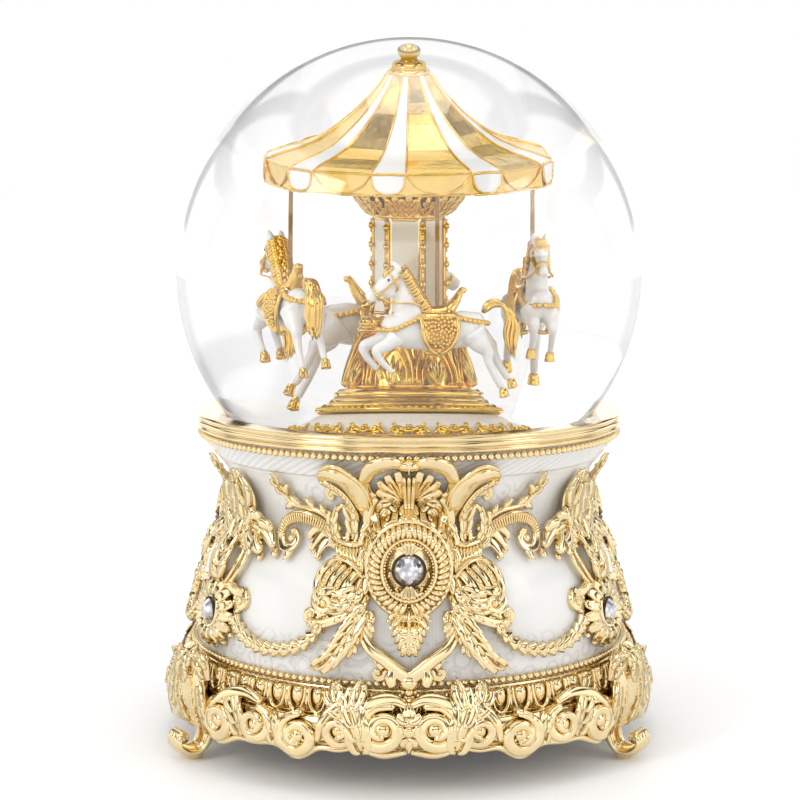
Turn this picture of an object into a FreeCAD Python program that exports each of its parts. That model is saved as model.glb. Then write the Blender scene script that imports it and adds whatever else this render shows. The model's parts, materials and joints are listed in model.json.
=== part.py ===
import FreeCAD, Part
import math
import os

# Carousel music box: a rotating carousel in a water globe, on a bell-shaped base with three scroll feet.
# Millimetres, +Z up, the front faces -Y. The origin is on the globe's axis, on the surface the feet rest on.
# An outline is a list of (radius, height) points. An azimuth is in degrees from the front, towards +X.

Vector = FreeCAD.Vector
X_AXIS = Vector(1, 0, 0)
Z_AXIS = Vector(0, 0, 1)
CENTRE = Vector(0, 0, 0)
FULL_TURN = 360.0
RUNNING_GAP = 0.05

# Where the base's three-fold pattern repeats.
FRONT_AZIMUTHS = {"front": 0, "left": -120, "right": 120}
FOOT_AZIMUTHS = {"front_left": -60, "front_right": 60, "back": 180}
ORNAMENT_THICKNESS = 2.6

# Globe
GLOBE_RADIUS = 50.0
GLOBE_HEIGHT = 100.0
GLASS_WALL = 2.0
NECK_RADIUS = 32.0
NECK_BOTTOM = 56.0
PLUG_TOP = 64.0
PLUG_RECESS_RADIUS = 13.0
PLUG_RECESS_TOP = 61.0
GASKET_THICKNESS = 1.0

# Base housing
HOUSING_WALL = 3.0
HOUSING_BOTTOM = 11.0
HOUSING_FOOT_RADIUS = 46.0
BELL_OUTLINE = [(46.15, 20.3), (46.4, 24.3), (45.2, 32.5), (42.8, 40.5), (39.3, 46.15), (37.8, 50.4),
                (38.2, 54.9), (41.0, 60.8)]
BAND_OUTLINE = [(41.6, 61.2), (44.4, 66.8)]
LEDGE_TOP = 55.0
LEDGE_THICKNESS = 2.0
LEDGE_HOLE_RADIUS = 27.0
LIP_RADIUS = 38.2
LIP_THICKNESS = 1.8
RIM_OUTLINE = [(38.0, 66.9), (45.0, 66.9), (45.9, 67.6), (45.4, 67.9), (46.0, 68.4), (45.6, 69.4),
               (46.0, 69.8), (45.4, 70.3), (40.6, 70.3)]
SKIRT_OUTLINE = [(46.05, 8.2), (50.2, 8.2), (50.4, 9.0), (49.9, 14.0), (48.7, 17.75), (47.2, 20.4), (46.05, 20.4)]
RIM_BEADS = {"radius": 45.1, "height": 65.95, "thickness": 0.65}
LOWER_BEADS = {"radius": 47.0, "height": 21.4, "thickness": 0.72}

# Bottom plate and its screws
PLATE_TOP = 13.0
PLATE_RADIUS = 42.8
PLATE_HOLE_RADIUS = 4.5
BOSS_CIRCLE_RADIUS = 40.0
BOSS_RADIUS = 3.5
BOSS_TOP = 20.0
SCREW_RADIUS = 1.25
SCREW_HEAD_RADIUS = 2.4
SCREW_HEAD_HEIGHT = 1.2
PLATE_SCREW_LENGTH = 7.0

# Movement: bedplate, barrel, drum, comb and governor
BEDPLATE_BOTTOM = 16.0
BEDPLATE_TOP = 17.6
BEDPLATE_X = (-16.0, 37.0)
BEDPLATE_Y = (-27.0, 15.5)
BEDPLATE_CORNER_RADIUS = 39.0
STANDOFFS = [(-11.0, 11.0), (10.0, -23.0), (25.0, 13.0)]
STANDOFF_RADIUS = 3.0
ARBOR_RADIUS = 1.6
ARBOR_BOTTOM = 5.5
ARBOR_TOP = 26.8
BARREL_BOTTOM = 19.0
BARREL_TOP = 28.2
BARREL_RADIUS = 11.8
BARREL_WALL = 1.0
SPRING_TURNS = 7
SPRING_THICKNESS = 0.3
CROWN_TEETH = 44
CROWN_PITCH_RADIUS = 11.0
CROWN_TOOTH = {"root_width": 0.72, "tip_width": 0.36, "height": 1.1, "length": 1.6}
DRUM_PINION_TEETH = 11
DRUM_AXIS_HEIGHT = 31.55
DRUM_PINION = {"root": 2.1, "tip": 3.15, "root_width": 0.8, "tip_width": 0.35, "start": 10.0, "end": 12.0}
DRUM_RADIUS = 6.5
DRUM_START = 15.0
DRUM_END = 31.0
DRUM_ARBOR_RADIUS = 0.9
DRUM_ARBOR_ENDS = (9.6, 35.2)
DRUM_WHEEL_TEETH = 48
DRUM_WHEEL = {"root": 9.0, "tip": 9.95, "root_width": 0.6, "tip_width": 0.25, "start": 31.6, "end": 32.6}
GOVERNOR_TEETH = 8
GOVERNOR_OFFSET = 11.3
GOVERNOR_PINION = {"root": 1.15, "tip": 1.95, "root_width": 0.55, "tip_width": 0.25, "start": 31.3, "end": 32.9}
GOVERNOR_ARBOR_RADIUS = 0.6
GOVERNOR_ARBOR_ENDS = (12.3, 35.2)
FAN_ENDS = (17.0, 27.0)
FAN_REACH = 3.6
FAN_THICKNESS = 0.5
FAN_HUB_RADIUS = 1.1
POST_STARTS = (12.8, 33.4)
POST_THICKNESS = 1.5
POST_Y = (-3.0, 14.0)
POST_TOP = 34.6
COMB_TEETH = 18
COMB_PITCH = 0.85
COMB_GAP = 0.2
COMB_TIP_Y = -7.3
COMB_ROOT_Y = -17.0
COMB_BACK_Y = -23.0
COMB_BOTTOM = 31.0
COMB_THICKNESS = 1.0
COMB_BASE_Y = (-24.0, -18.0)
COMB_SCREW_X = (18.5, 27.5)
COMB_SCREW_Y = -20.5
COMB_SCREW_RADIUS = 1.0
COMB_SCREW_LENGTH = 7.0
PIN_RADIUS = 0.18
PIN_LENGTH = 0.5
PINS_PER_TRACK = 3
PIN_STEP_DEGREES = 47.0

# Winding key under the bottom plate
KEY_BOTTOM = 2.2
KEY_WING_TOP = 8.4
KEY_HALF_WIDTH = 12.0
KEY_THICKNESS = 2.0
KEY_HUB_RADIUS = 3.0
KEY_HUB_TOP = 10.4
KEY_CORNER_RADIUS = 2.6

# Magnetic drive through the plug
OUTPUT_SHAFT_RADIUS = 1.5
DRIVE_MAGNET = {"radius": 11.0, "bottom": 57.6, "top": 60.4}
DRIVEN_MAGNET = {"radius": 11.0, "bottom": 65.0, "top": 67.6}

# Fixed stand inside the globe
STAND_OUTLINE = [(12.5, 64.0), (27.0, 64.0), (27.0, 67.0), (24.5, 69.6), (23.0, 70.8), (19.8, 70.8), (19.6, 73.6),
                 (17.6, 74.6), (15.2, 76.2), (3.0, 76.2), (3.0, 70.0), (12.5, 70.0)]
CROWN_RING = {"inner": 19.9, "outer": 22.4, "bottom": 70.8, "top": 74.0}
CROWN_RING_WINDOWS = 24
CROWN_WINDOW_RADIUS = 1.0
BUSH_RADIUS = 3.0
BUSH_BOTTOM = 70.0
BUSH_TOP = 76.2

# Carousel, from its turntable to its finial
SPINDLE_RADIUS = 1.5
SPINDLE_BOTTOM = 64.4
CANOPY_TOP = 133.0
TURNTABLE_OUTLINE = [(1.5, 76.6), (15.2, 76.6), (15.2, 77.5), (14.0, 77.9), (13.9, 78.3), (12.8, 78.7),
                     (12.6, 79.2), (11.9, 79.6), (11.7, 80.2), (11.2, 80.8), (1.5, 80.8)]
LEAF_DRUM_OUTLINE = [(1.5, 80.8), (11.0, 80.8), (10.9, 82.0), (10.6, 83.4), (9.9, 85.6), (9.2, 88.0), (8.4, 90.3),
                     (1.5, 90.3)]
BALL_RING = {"radius": 8.2, "bottom": 90.3, "top": 91.2}
BALL_COUNT = 20
BALL_RADIUS = 1.05
BALL_CIRCLE_RADIUS = 7.1
COLUMN_SIDES = 6
COLUMN_FIRST_VERTEX = -38.0
COLUMN_TOP = 109.0
CORE_CIRCUMRADIUS = 5.4
PANEL_WIDTH = 4.2
PANEL_THICKNESS = 0.5
STRIP_RADIUS = 0.75
STRIP_CIRCLE_RADIUS = 5.75
CAPITAL_OUTLINE = [(1.5, 109.0), (6.3, 109.0), (6.5, 109.8), (6.9, 110.4), (7.5, 111.4), (8.0, 112.4), (8.0, 114.0),
                   (1.5, 114.0)]
CANOPY_OUTLINE = [(23.4, 118.3), (20.2, 119.6), (14.5, 121.5), (9.6, 125.2), (6.4, 128.7), (3.65, 132.8)]
CANOPY_FIRST_VERTEX = -16.6
GOLD_PANEL_DEGREES = 29.7
WHITE_PANEL_DEGREES = 15.3
CANOPY_REPEATS = 8
CANOPY_SHEET = 0.8
CEILING_BOTTOM = 117.0
TONGUE_TOP = 116.2
TONGUE_BOTTOM = 114.4
HUB_RADIUS = 3.2
FINIAL_OUTLINE = [(3.4, 133.0), (3.2, 133.8), (2.9, 134.6), (1.7, 135.4), (1.2, 136.2)]
FINIAL_BALL_RADIUS = 2.1
FINIAL_BALL_HEIGHT = 137.6

# Horses on their poles
POLE_CIRCLE_RADIUS = 20.2
POLE_RADIUS = 0.375
LOW_HORSE_BELLY = 86.0
HIGH_HORSE_LIFT = 3.5
HORSES = {"front": (14.0, 0.0), "right": (104.0, HIGH_HORSE_LIFT), "back": (194.0, 0.0),
          "left": (-76.0, HIGH_HORSE_LIFT)}
TRUNK_SECTIONS = [(-7.2, 4.9, 1.5), (-5.0, 4.8, 3.1), (-1.4, 4.4, 3.1), (2.4, 4.5, 3.2), (6.0, 4.9, 3.1), (9.3, 5.6, 1.7)]
NECK_SECTIONS = [(6.2, 6.6, 2.7), (7.2, 10.0, 2.0), (7.0, 13.6, 1.5), (8.0, 14.4, 1.3)]
HEAD_SECTIONS = [(7.0, 14.8, 1.4), (9.6, 11.4, 1.35), (12.6, 6.6, 0.8)]
TAIL_SECTIONS = [(-6.6, 7.0, 0.7), (-9.2, 7.6, 1.3), (-9.6, 2.4, 1.1), (-8.8, -1.4, 0.4)]
FORE_LEG = [(8.6, 3.2, 1.3), (12.2, 1.6, 0.85), (11.0, -0.4, 0.6), (9.6, -2.4, 0.8)]
HIND_LEG = [(-6.2, 3.4, 1.7), (-8.6, 0.8, 0.9), (-10.2, -3.0, 0.6), (-11.4, -5.6, 0.85)]
LEG_SPREAD = 1.5
SADDLE = {"start": -3.4, "end": 3.0, "bottom": 1.2, "top": 8.2, "half_width": 3.4}

# Scroll feet, aprons and relief ornament
FOOT_OUTLINE = [(50.4, 0.0), (52.8, 0.0), (55.6, 2.0), (57.2, 4.4), (56.4, 6.2), (54.8, 6.2), (53.2, 7.6),
                (53.0, 9.9), (53.8, 15.0), (53.6, 21.0), (51.0, 23.0), (47.0, 21.5), (46.9, 11.6), (47.6, 7.0),
                (48.2, 2.1)]
FOOT_WIDTH = 8.0
APRON_OUTER_RADIUS = 52.0
APRON_INNER_RADIUS = 47.0
APRON_SCROLLS = [(5.3, 13.9, 5.0), (12.0, 18.0, 4.0), (15.4, 13.0, 3.4), (25.0, 11.4, 4.4), (36.4, 12.0, 3.8),
                 (48.0, 11.0, 4.8)]
APRON_BAND = (11.5, 16.5)
APRON_HALF_ANGLE = 50.0
BEAD_CLEARANCE = 0.2
CARTOUCHE_HALF_OUTLINE = [(0.0, 22.6), (9.0, 30.0), (17.5, 23.0), (17.0, 34.0), (26.0, 41.0), (25.0, 49.5),
                          (14.0, 47.5), (12.5, 52.0), (17.5, 60.6), (9.0, 64.0), (0.0, 65.2)]
CARTOUCHE_BACK = 30.0
CARTOUCHE_FRONT = 60.0
MEDALLION = {"half_width": 7.8, "half_height": 9.0, "height": 44.1, "front": 46.2}
BEZEL = {"inner": 3.2, "outer": 3.9, "front": 47.0}
ROUND_GEM = {"girdle": 3.15, "table": 1.8, "depth": 1.4}
ROSETTE = {"radius": 6.4, "petal_circle": 6.6, "petal_radius": 1.5, "petals": 16, "height": 30.9, "front": 47.6}
OVAL_GEM = {"half_width": 2.1, "half_height": 2.8, "depth": 1.0}
GARLAND = {"radius": 0.9, "route": [(23.0, 33.0, 46.4), (33.0, 25.6, 47.2), (50.5, 30.0, 46.8)]}
BRANCH = {"radius": 0.8, "route": [(58.0, 39.2, 44.3), (50.0, 44.5, 42.3), (57.0, 57.0, 40.6)]}


def around(azimuth, radius, height):
    """The point at an azimuth, a distance from the axis and a height."""
    angle = math.radians(azimuth)
    return Vector(radius * math.sin(angle), -radius * math.cos(angle), height)


def turned_copy(shape, azimuth):
    """A copy of a shape made at the front, turned about the vertical axis to an azimuth."""
    copy = shape.copy()
    copy.rotate(CENTRE, Z_AXIS, azimuth)
    return copy


def joined(shapes, tidy=True):
    """One solid from shapes that touch or overlap. Tidying merges faces that lie in one surface."""
    solid = shapes[0].multiFuse(shapes[1:])
    return solid.removeSplitter() if tidy else solid


def tube(radius, bottom, top, inner=0.0):
    """A vertical cylinder on the axis, with a bore when inner isn't zero."""
    solid = Part.makeCylinder(radius, top - bottom, Vector(0, 0, bottom))
    if inner:
        solid = solid.cut(Part.makeCylinder(inner, top - bottom, Vector(0, 0, bottom)))
    return solid


def upright(x, y, radius, bottom, top):
    """A vertical cylinder away from the axis."""
    return Part.makeCylinder(radius, top - bottom, Vector(x, y, bottom))


def lengthwise(radius, ends, y=0.0, height=DRUM_AXIS_HEIGHT):
    """A cylinder along X, between two x positions."""
    return Part.makeCylinder(radius, ends[1] - ends[0], Vector(ends[0], y, height), X_AXIS)


def block(x, y, z):
    """A box between two positions on each axis."""
    return Part.makeBox(x[1] - x[0], y[1] - y[0], z[1] - z[0], Vector(x[0], y[0], z[0]))


def flat_face(points):
    """A flat face with straight edges."""
    return Part.Face(Part.makePolygon(points + points[:1]))


def revolved(outline):
    """A solid of revolution from a closed outline with straight edges."""
    return flat_face([Vector(r, 0, z) for r, z in outline]).revolve(CENTRE, Z_AXIS, FULL_TURN)


def bell_solid(offset, low=None, high=None):
    """The solid inside the housing's outer surface, moved outwards by an offset and cut between two heights."""
    curve = Part.BSplineCurve()
    curve.interpolate([Vector(r + offset, 0, z) for r, z in BELL_OUTLINE])
    bottom_radius, bottom = BELL_OUTLINE[0]
    corners = [Vector(BELL_OUTLINE[-1][0] + offset, 0, BELL_OUTLINE[-1][1])]
    corners += [Vector(r + offset, 0, z) for r, z in BAND_OUTLINE]
    corners.append(Vector(0, 0, BAND_OUTLINE[-1][1]))
    corners.append(Vector(0, 0, HOUSING_BOTTOM))
    corners.append(Vector(HOUSING_FOOT_RADIUS + offset, 0, HOUSING_BOTTOM))
    corners.append(Vector(HOUSING_FOOT_RADIUS + offset, 0, bottom))
    corners.append(Vector(bottom_radius + offset, 0, bottom))
    edges = [curve.toShape()]
    edges += [Part.makeLine(a, b) for a, b in zip(corners, corners[1:])]
    solid = Part.Face(Part.Wire(edges)).revolve(CENTRE, Z_AXIS, FULL_TURN)
    if low is not None:
        solid = solid.common(tube(GLOBE_RADIUS + APRON_OUTER_RADIUS, low, high))
    return solid


def toothed(gear, teeth, first_angle, y=0.0):
    """A spur wheel on an axis along X. The angle of a tooth is measured from +Y towards +Z."""
    wheel = Part.makeCylinder(gear["root"], gear["end"] - gear["start"], Vector(gear["start"], 0, 0), X_AXIS)
    root = gear["root"] - gear["root_width"] / 2
    profile = [Vector(gear["start"], root, -gear["root_width"] / 2), Vector(gear["start"], root, gear["root_width"] / 2),
               Vector(gear["start"], gear["tip"], gear["tip_width"] / 2),
               Vector(gear["start"], gear["tip"], -gear["tip_width"] / 2)]
    tooth = flat_face(profile).extrude(Vector(gear["end"] - gear["start"], 0, 0))
    parts = [wheel]
    for index in range(teeth):
        copy = tooth.copy()
        copy.rotate(CENTRE, X_AXIS, first_angle + index * FULL_TURN / teeth)
        parts.append(copy)
    solid = joined(parts)
    solid.translate(Vector(0, y, DRUM_AXIS_HEIGHT))
    return solid


def sphere_height(radius, sphere_radius):
    """Where a sphere of the globe, below its middle, has a given radius."""
    return GLOBE_HEIGHT - math.sqrt(sphere_radius ** 2 - radius ** 2)


def sphere_arc(sphere_radius, start_radius):
    """A meridian from the neck to the top of a sphere of the globe."""
    start = Vector(start_radius, 0, sphere_height(start_radius, sphere_radius))
    middle = Vector(sphere_radius, 0, GLOBE_HEIGHT)
    end = Vector(0, 0, GLOBE_HEIGHT + sphere_radius)
    return start, Part.Arc(start, middle, end).toShape(), end


def globe_glass():
    inner_neck = NECK_RADIUS - GLASS_WALL
    outer_start, outer_arc, outer_end = sphere_arc(GLOBE_RADIUS, NECK_RADIUS)
    inner_start, inner_arc, inner_end = sphere_arc(GLOBE_RADIUS - GLASS_WALL, inner_neck)
    low_outer = Vector(NECK_RADIUS, 0, NECK_BOTTOM)
    low_inner = Vector(inner_neck, 0, NECK_BOTTOM)
    edges = [outer_arc, Part.makeLine(outer_end, inner_end), inner_arc, Part.makeLine(inner_start, low_inner),
             Part.makeLine(low_inner, low_outer), Part.makeLine(low_outer, outer_start)]
    return Part.Face(Part.Wire(Part.__sortEdges__(edges))).revolve(CENTRE, Z_AXIS, FULL_TURN)


def globe_plug():
    plug = tube(NECK_RADIUS - GLASS_WALL, NECK_BOTTOM, PLUG_TOP)
    return plug.cut(tube(PLUG_RECESS_RADIUS, NECK_BOTTOM, PLUG_RECESS_TOP))


def globe_gasket():
    return tube(NECK_RADIUS + GASKET_THICKNESS, LEDGE_TOP, NECK_BOTTOM, NECK_RADIUS - GLASS_WALL - GASKET_THICKNESS)


def base_housing():
    shell = bell_solid(0.0).cut(bell_solid(-HOUSING_WALL))
    top = BAND_OUTLINE[-1][1]
    ledge_radius = BELL_OUTLINE[-2][0] - HOUSING_WALL / 2
    ledge = tube(ledge_radius, LEDGE_TOP - LEDGE_THICKNESS, LEDGE_TOP, LEDGE_HOLE_RADIUS)
    lip = tube(BAND_OUTLINE[-1][0] - HOUSING_WALL / 2, top - LIP_THICKNESS, top, LIP_RADIUS)
    housing = joined([shell, ledge, lip])
    boss = upright(0, -BOSS_CIRCLE_RADIUS, BOSS_RADIUS, PLATE_TOP, BOSS_TOP)
    boss_hole = upright(0, -BOSS_CIRCLE_RADIUS, SCREW_RADIUS, PLATE_TOP, BOSS_TOP)
    bosses = [turned_copy(boss, azimuth) for azimuth in FRONT_AZIMUTHS.values()]
    holes = [turned_copy(boss_hole, azimuth) for azimuth in FRONT_AZIMUTHS.values()]
    return joined([housing] + bosses).cut(Part.makeCompound(holes))


def bead_ring(beads):
    """The band that a string of beads fills, cut to the housing's surface."""
    ring = Part.makeTorus(beads["radius"], beads["thickness"], Vector(0, 0, beads["height"]))
    return ring.cut(bell_solid(0.0))


def skirt_envelope():
    """Everything inside the skirt's outer surface."""
    outline = [(0.0, SKIRT_OUTLINE[0][1])] + SKIRT_OUTLINE[1:-1] + [(0.0, SKIRT_OUTLINE[-1][1])]
    return revolved(outline)


def foot():
    """A scroll foot at the front azimuth, fitted round the skirt and the bead string."""
    points = [Vector(-FOOT_WIDTH / 2, -r, z) for r, z in FOOT_OUTLINE]
    solid = flat_face(points).extrude(Vector(FOOT_WIDTH, 0, 0))
    beads = Part.makeTorus(LOWER_BEADS["radius"], LOWER_BEADS["thickness"], Vector(0, 0, LOWER_BEADS["height"]))
    return solid.cut(skirt_envelope()).cut(bell_solid(0.0)).cut(beads)


def apron():
    """The pierced scroll apron at the front azimuth, against the skirt."""
    low, high = APRON_BAND
    reach = APRON_OUTER_RADIUS + 1.0
    sheet = tube(APRON_OUTER_RADIUS, 0.0, GLOBE_HEIGHT / 2, APRON_INNER_RADIUS)
    scrolls = []
    for side in (-1, 1):
        for azimuth, height, radius in APRON_SCROLLS:
            disc = Part.makeCylinder(radius, reach, Vector(0, 0, height), Vector(0, -1, 0))
            scrolls.append(turned_copy(disc, side * azimuth))
    segment = Part.makeCylinder(reach, high - low, Vector(0, 0, low), Z_AXIS, 2 * APRON_HALF_ANGLE)
    segment.rotate(CENTRE, Z_AXIS, -90 - APRON_HALF_ANGLE)
    bands = [sheet.common(piece) for piece in scrolls + [segment]]
    half_height = LOWER_BEADS["thickness"] + BEAD_CLEARANCE
    bead_space = tube(LOWER_BEADS["radius"] + half_height, LOWER_BEADS["height"] - half_height,
                      LOWER_BEADS["height"] + half_height)
    return joined(bands).cut(skirt_envelope()).cut(bead_space)


def oval_prism(half_width, half_height, back, front, height):
    """An upright oval extruded along -Y."""
    oval = Part.Ellipse(CENTRE, half_height, half_width).toShape()
    face = Part.Face(Part.Wire([oval]))
    face.rotate(CENTRE, Z_AXIS, 90)
    face.rotate(CENTRE, X_AXIS, 90)
    face.translate(Vector(0, -back, height))
    return face.extrude(Vector(0, back - front, 0))


def cartouche():
    """The relief panel at the front azimuth, with its medallion and the gem's bezel."""
    right = CARTOUCHE_HALF_OUTLINE
    left = [(-x, z) for x, z in reversed(CARTOUCHE_HALF_OUTLINE[1:-1])]
    outline = [Vector(x, -CARTOUCHE_BACK, z) for x, z in right + left]
    prism = flat_face(outline).extrude(Vector(0, CARTOUCHE_BACK - CARTOUCHE_FRONT, 0))
    relief = bell_solid(ORNAMENT_THICKNESS, right[0][1], right[-1][1]).common(prism)
    medallion = oval_prism(MEDALLION["half_width"], MEDALLION["half_height"], CARTOUCHE_BACK, MEDALLION["front"],
                           MEDALLION["height"])
    start = Vector(0, -MEDALLION["front"] + HOUSING_WALL, MEDALLION["height"])
    depth = BEZEL["front"] - MEDALLION["front"] + HOUSING_WALL
    bezel = Part.makeCylinder(BEZEL["outer"], depth, start, Vector(0, -1, 0))
    seat = Part.makeCylinder(BEZEL["inner"], depth, Vector(0, -MEDALLION["front"], MEDALLION["height"]), Vector(0, -1, 0))
    solid = joined([relief, medallion, bezel]).cut(bell_solid(0.0)).cut(seat)
    return solid.cut(tube(GLOBE_RADIUS + APRON_OUTER_RADIUS, 0.0, LOWER_BEADS["height"] + LOWER_BEADS["thickness"]))


def cartouche_gem():
    front = Vector(0, -MEDALLION["front"], MEDALLION["height"])
    return Part.makeCone(ROUND_GEM["girdle"], ROUND_GEM["table"], ROUND_GEM["depth"], front, Vector(0, -1, 0))


def rosette():
    """A scalloped flower boss at the front azimuth."""
    start = Vector(0, -CARTOUCHE_BACK, ROSETTE["height"])
    depth = ROSETTE["front"] - CARTOUCHE_BACK
    parts = [Part.makeCylinder(ROSETTE["radius"], depth, start, Vector(0, -1, 0))]
    for index in range(ROSETTE["petals"]):
        angle = math.radians(index * FULL_TURN / ROSETTE["petals"])
        offset = Vector(math.sin(angle), 0, math.cos(angle)) * ROSETTE["petal_circle"]
        parts.append(Part.makeCylinder(ROSETTE["petal_radius"], depth, start + offset, Vector(0, -1, 0)))
    return joined(parts).cut(bell_solid(0.0))


def rosette_gem():
    return oval_prism(OVAL_GEM["half_width"], OVAL_GEM["half_height"], ROSETTE["front"],
                      ROSETTE["front"] + OVAL_GEM["depth"], ROSETTE["height"])


def swept_arc(strand, side):
    """A round strand along the arc through three points of a route, mirrored to the given side."""
    points = [around(side * azimuth, radius, height) for azimuth, height, radius in strand["route"]]
    edge = Part.Arc(*points).toShape()
    direction = edge.tangentAt(edge.FirstParameter)
    section = Part.Face(Part.Wire([Part.makeCircle(strand["radius"], points[0], direction)]))
    return Part.Wire([edge]).makePipe(section).cut(bell_solid(0.0))


def strands(strand):
    """The six copies of a strand, two beside each front azimuth."""
    solids = []
    for side in (-1, 1):
        solid = swept_arc(strand, side)
        if strand is GARLAND:
            solid = solid.cut(cartouche()).cut(turned_copy(rosette(), side * FOOT_AZIMUTHS["front_right"]))
        solids += [turned_copy(solid, azimuth) for azimuth in FRONT_AZIMUTHS.values()]
    return Part.makeCompound(solids)


def bottom_plate():
    plate = tube(PLATE_RADIUS, HOUSING_BOTTOM, PLATE_TOP, PLATE_HOLE_RADIUS)
    posts = [upright(x, y, STANDOFF_RADIUS, PLATE_TOP, BEDPLATE_BOTTOM) for x, y in STANDOFFS]
    hole = upright(0, -BOSS_CIRCLE_RADIUS, SCREW_RADIUS, HOUSING_BOTTOM, PLATE_TOP)
    holes = [turned_copy(hole, azimuth) for azimuth in FRONT_AZIMUTHS.values()]
    holes += [upright(x, y, SCREW_RADIUS, HOUSING_BOTTOM, BEDPLATE_BOTTOM) for x, y in STANDOFFS]
    return joined([plate] + posts).cut(Part.makeCompound(holes))


def plate_screws():
    shank = upright(0, -BOSS_CIRCLE_RADIUS, SCREW_RADIUS, HOUSING_BOTTOM, HOUSING_BOTTOM + PLATE_SCREW_LENGTH)
    head = upright(0, -BOSS_CIRCLE_RADIUS, SCREW_HEAD_RADIUS, HOUSING_BOTTOM - SCREW_HEAD_HEIGHT, HOUSING_BOTTOM)
    screw = joined([shank, head])
    return Part.makeCompound([turned_copy(screw, azimuth) for azimuth in FRONT_AZIMUTHS.values()])


def movement_bedplate():
    plate = block(BEDPLATE_X, BEDPLATE_Y, (BEDPLATE_BOTTOM, BEDPLATE_TOP))
    plate = plate.common(tube(BEDPLATE_CORNER_RADIUS, BEDPLATE_BOTTOM, BEDPLATE_TOP))
    holes = [upright(x, y, SCREW_RADIUS, BEDPLATE_BOTTOM, BEDPLATE_TOP) for x, y in STANDOFFS]
    holes.append(tube(ARBOR_RADIUS + RUNNING_GAP, BEDPLATE_BOTTOM, BEDPLATE_TOP))
    return plate.cut(Part.makeCompound(holes))


def movement_screws():
    screws = []
    for x, y in STANDOFFS:
        shank = upright(x, y, SCREW_RADIUS, HOUSING_BOTTOM, BEDPLATE_TOP)
        head = upright(x, y, SCREW_HEAD_RADIUS, BEDPLATE_TOP, BEDPLATE_TOP + SCREW_HEAD_HEIGHT)
        screws.append(joined([shank, head]))
    return Part.makeCompound(screws)


def winding_key():
    """A low flat-winged key, with a hub that takes the arbor's lower end."""
    wing = block((-KEY_HALF_WIDTH, KEY_HALF_WIDTH), (-KEY_THICKNESS / 2, KEY_THICKNESS / 2), (KEY_BOTTOM, KEY_WING_TOP))
    corners = [edge for edge in wing.Edges if is_wing_corner(edge)]
    wing = wing.makeFillet(KEY_CORNER_RADIUS, corners)
    key = joined([wing, tube(KEY_HUB_RADIUS, ARBOR_BOTTOM, KEY_HUB_TOP)])
    return key.cut(tube(ARBOR_RADIUS, ARBOR_BOTTOM, KEY_HUB_TOP))


def is_wing_corner(edge):
    """True for the four short edges across the wing's thickness."""
    start, end = edge.Vertexes[0].Point, edge.Vertexes[1].Point
    return abs(start.y - end.y) > KEY_THICKNESS / 2


def winding_arbor():
    return tube(ARBOR_RADIUS, ARBOR_BOTTOM, ARBOR_TOP)


def spring_barrel():
    """The drum of the mainspring, with crown teeth standing on its upper rim."""
    shell = tube(BARREL_RADIUS, BARREL_BOTTOM, BARREL_TOP)
    cavity = tube(CROWN_PITCH_RADIUS - BARREL_WALL, BARREL_BOTTOM + BARREL_WALL, BARREL_TOP)
    shell = shell.cut(cavity).cut(tube(ARBOR_RADIUS + RUNNING_GAP, BARREL_BOTTOM, BARREL_TOP))
    root, tip = CROWN_TOOTH["root_width"] / 2, CROWN_TOOTH["tip_width"] / 2
    start = BARREL_RADIUS - CROWN_TOOTH["length"]
    sunk = BARREL_TOP - BARREL_WALL / 2
    top = BARREL_TOP + CROWN_TOOTH["height"]
    points = [Vector(start, -root, sunk), Vector(start, root, sunk), Vector(start, root, BARREL_TOP),
              Vector(start, tip, top), Vector(start, -tip, top), Vector(start, -root, BARREL_TOP)]
    tooth = flat_face(points).extrude(Vector(CROWN_TOOTH["length"], 0, 0))
    tooth = tooth.common(tube(BARREL_RADIUS, BARREL_BOTTOM, top))
    teeth = [turned_copy(tooth, (index + 0.5) * FULL_TURN / CROWN_TEETH) for index in range(CROWN_TEETH)]
    return joined([shell] + teeth)


def barrel_cover():
    return tube(CROWN_PITCH_RADIUS - BARREL_WALL, BARREL_TOP - BARREL_WALL, BARREL_TOP, OUTPUT_SHAFT_RADIUS)


def mainspring():
    """A flat spiral of half turns that grow outwards from the arbor to the barrel's wall."""
    low, high = BARREL_BOTTOM + 1.5 * BARREL_WALL, BARREL_TOP - 1.5 * BARREL_WALL
    start = ARBOR_RADIUS + SPRING_THICKNESS
    pitch = (CROWN_PITCH_RADIUS - BARREL_WALL - start - SPRING_THICKNESS) / (SPRING_TURNS + 0.5)
    coils = []
    for half in range(2 * SPRING_TURNS):
        side = 1 if half % 2 else -1
        radius = start + pitch * (half + 1) / 2
        centre = Vector(side * pitch / 4, 0, low)
        ring = Part.makeCylinder(radius, high - low, centre)
        ring = ring.cut(Part.makeCylinder(radius - SPRING_THICKNESS, high - low, centre))
        reach = 2 * CROWN_PITCH_RADIUS
        half_space = block((-reach, reach), (0, side * reach) if side > 0 else (-reach, 0), (low, high))
        coils.append(ring.common(half_space))
    return joined(coils)


def output_shaft():
    return tube(OUTPUT_SHAFT_RADIUS, BARREL_TOP - BARREL_WALL, DRIVE_MAGNET["top"])


def magnet(size, bore):
    return tube(size["radius"], size["bottom"], size["top"], bore)


def plain_drum_arbor():
    return lengthwise(DRUM_ARBOR_RADIUS, DRUM_ARBOR_ENDS)


def drum_arbor():
    """The arbor with its pinion: a tooth points straight down at rest, into a gap of the crown teeth."""
    return joined([plain_drum_arbor(), toothed(DRUM_PINION, DRUM_PINION_TEETH, -90)])


def drum_wheel():
    """A gap faces the governor at rest."""
    half_pitch = FULL_TURN / DRUM_WHEEL_TEETH / 2
    return toothed(DRUM_WHEEL, DRUM_WHEEL_TEETH, half_pitch).cut(plain_drum_arbor())


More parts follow.
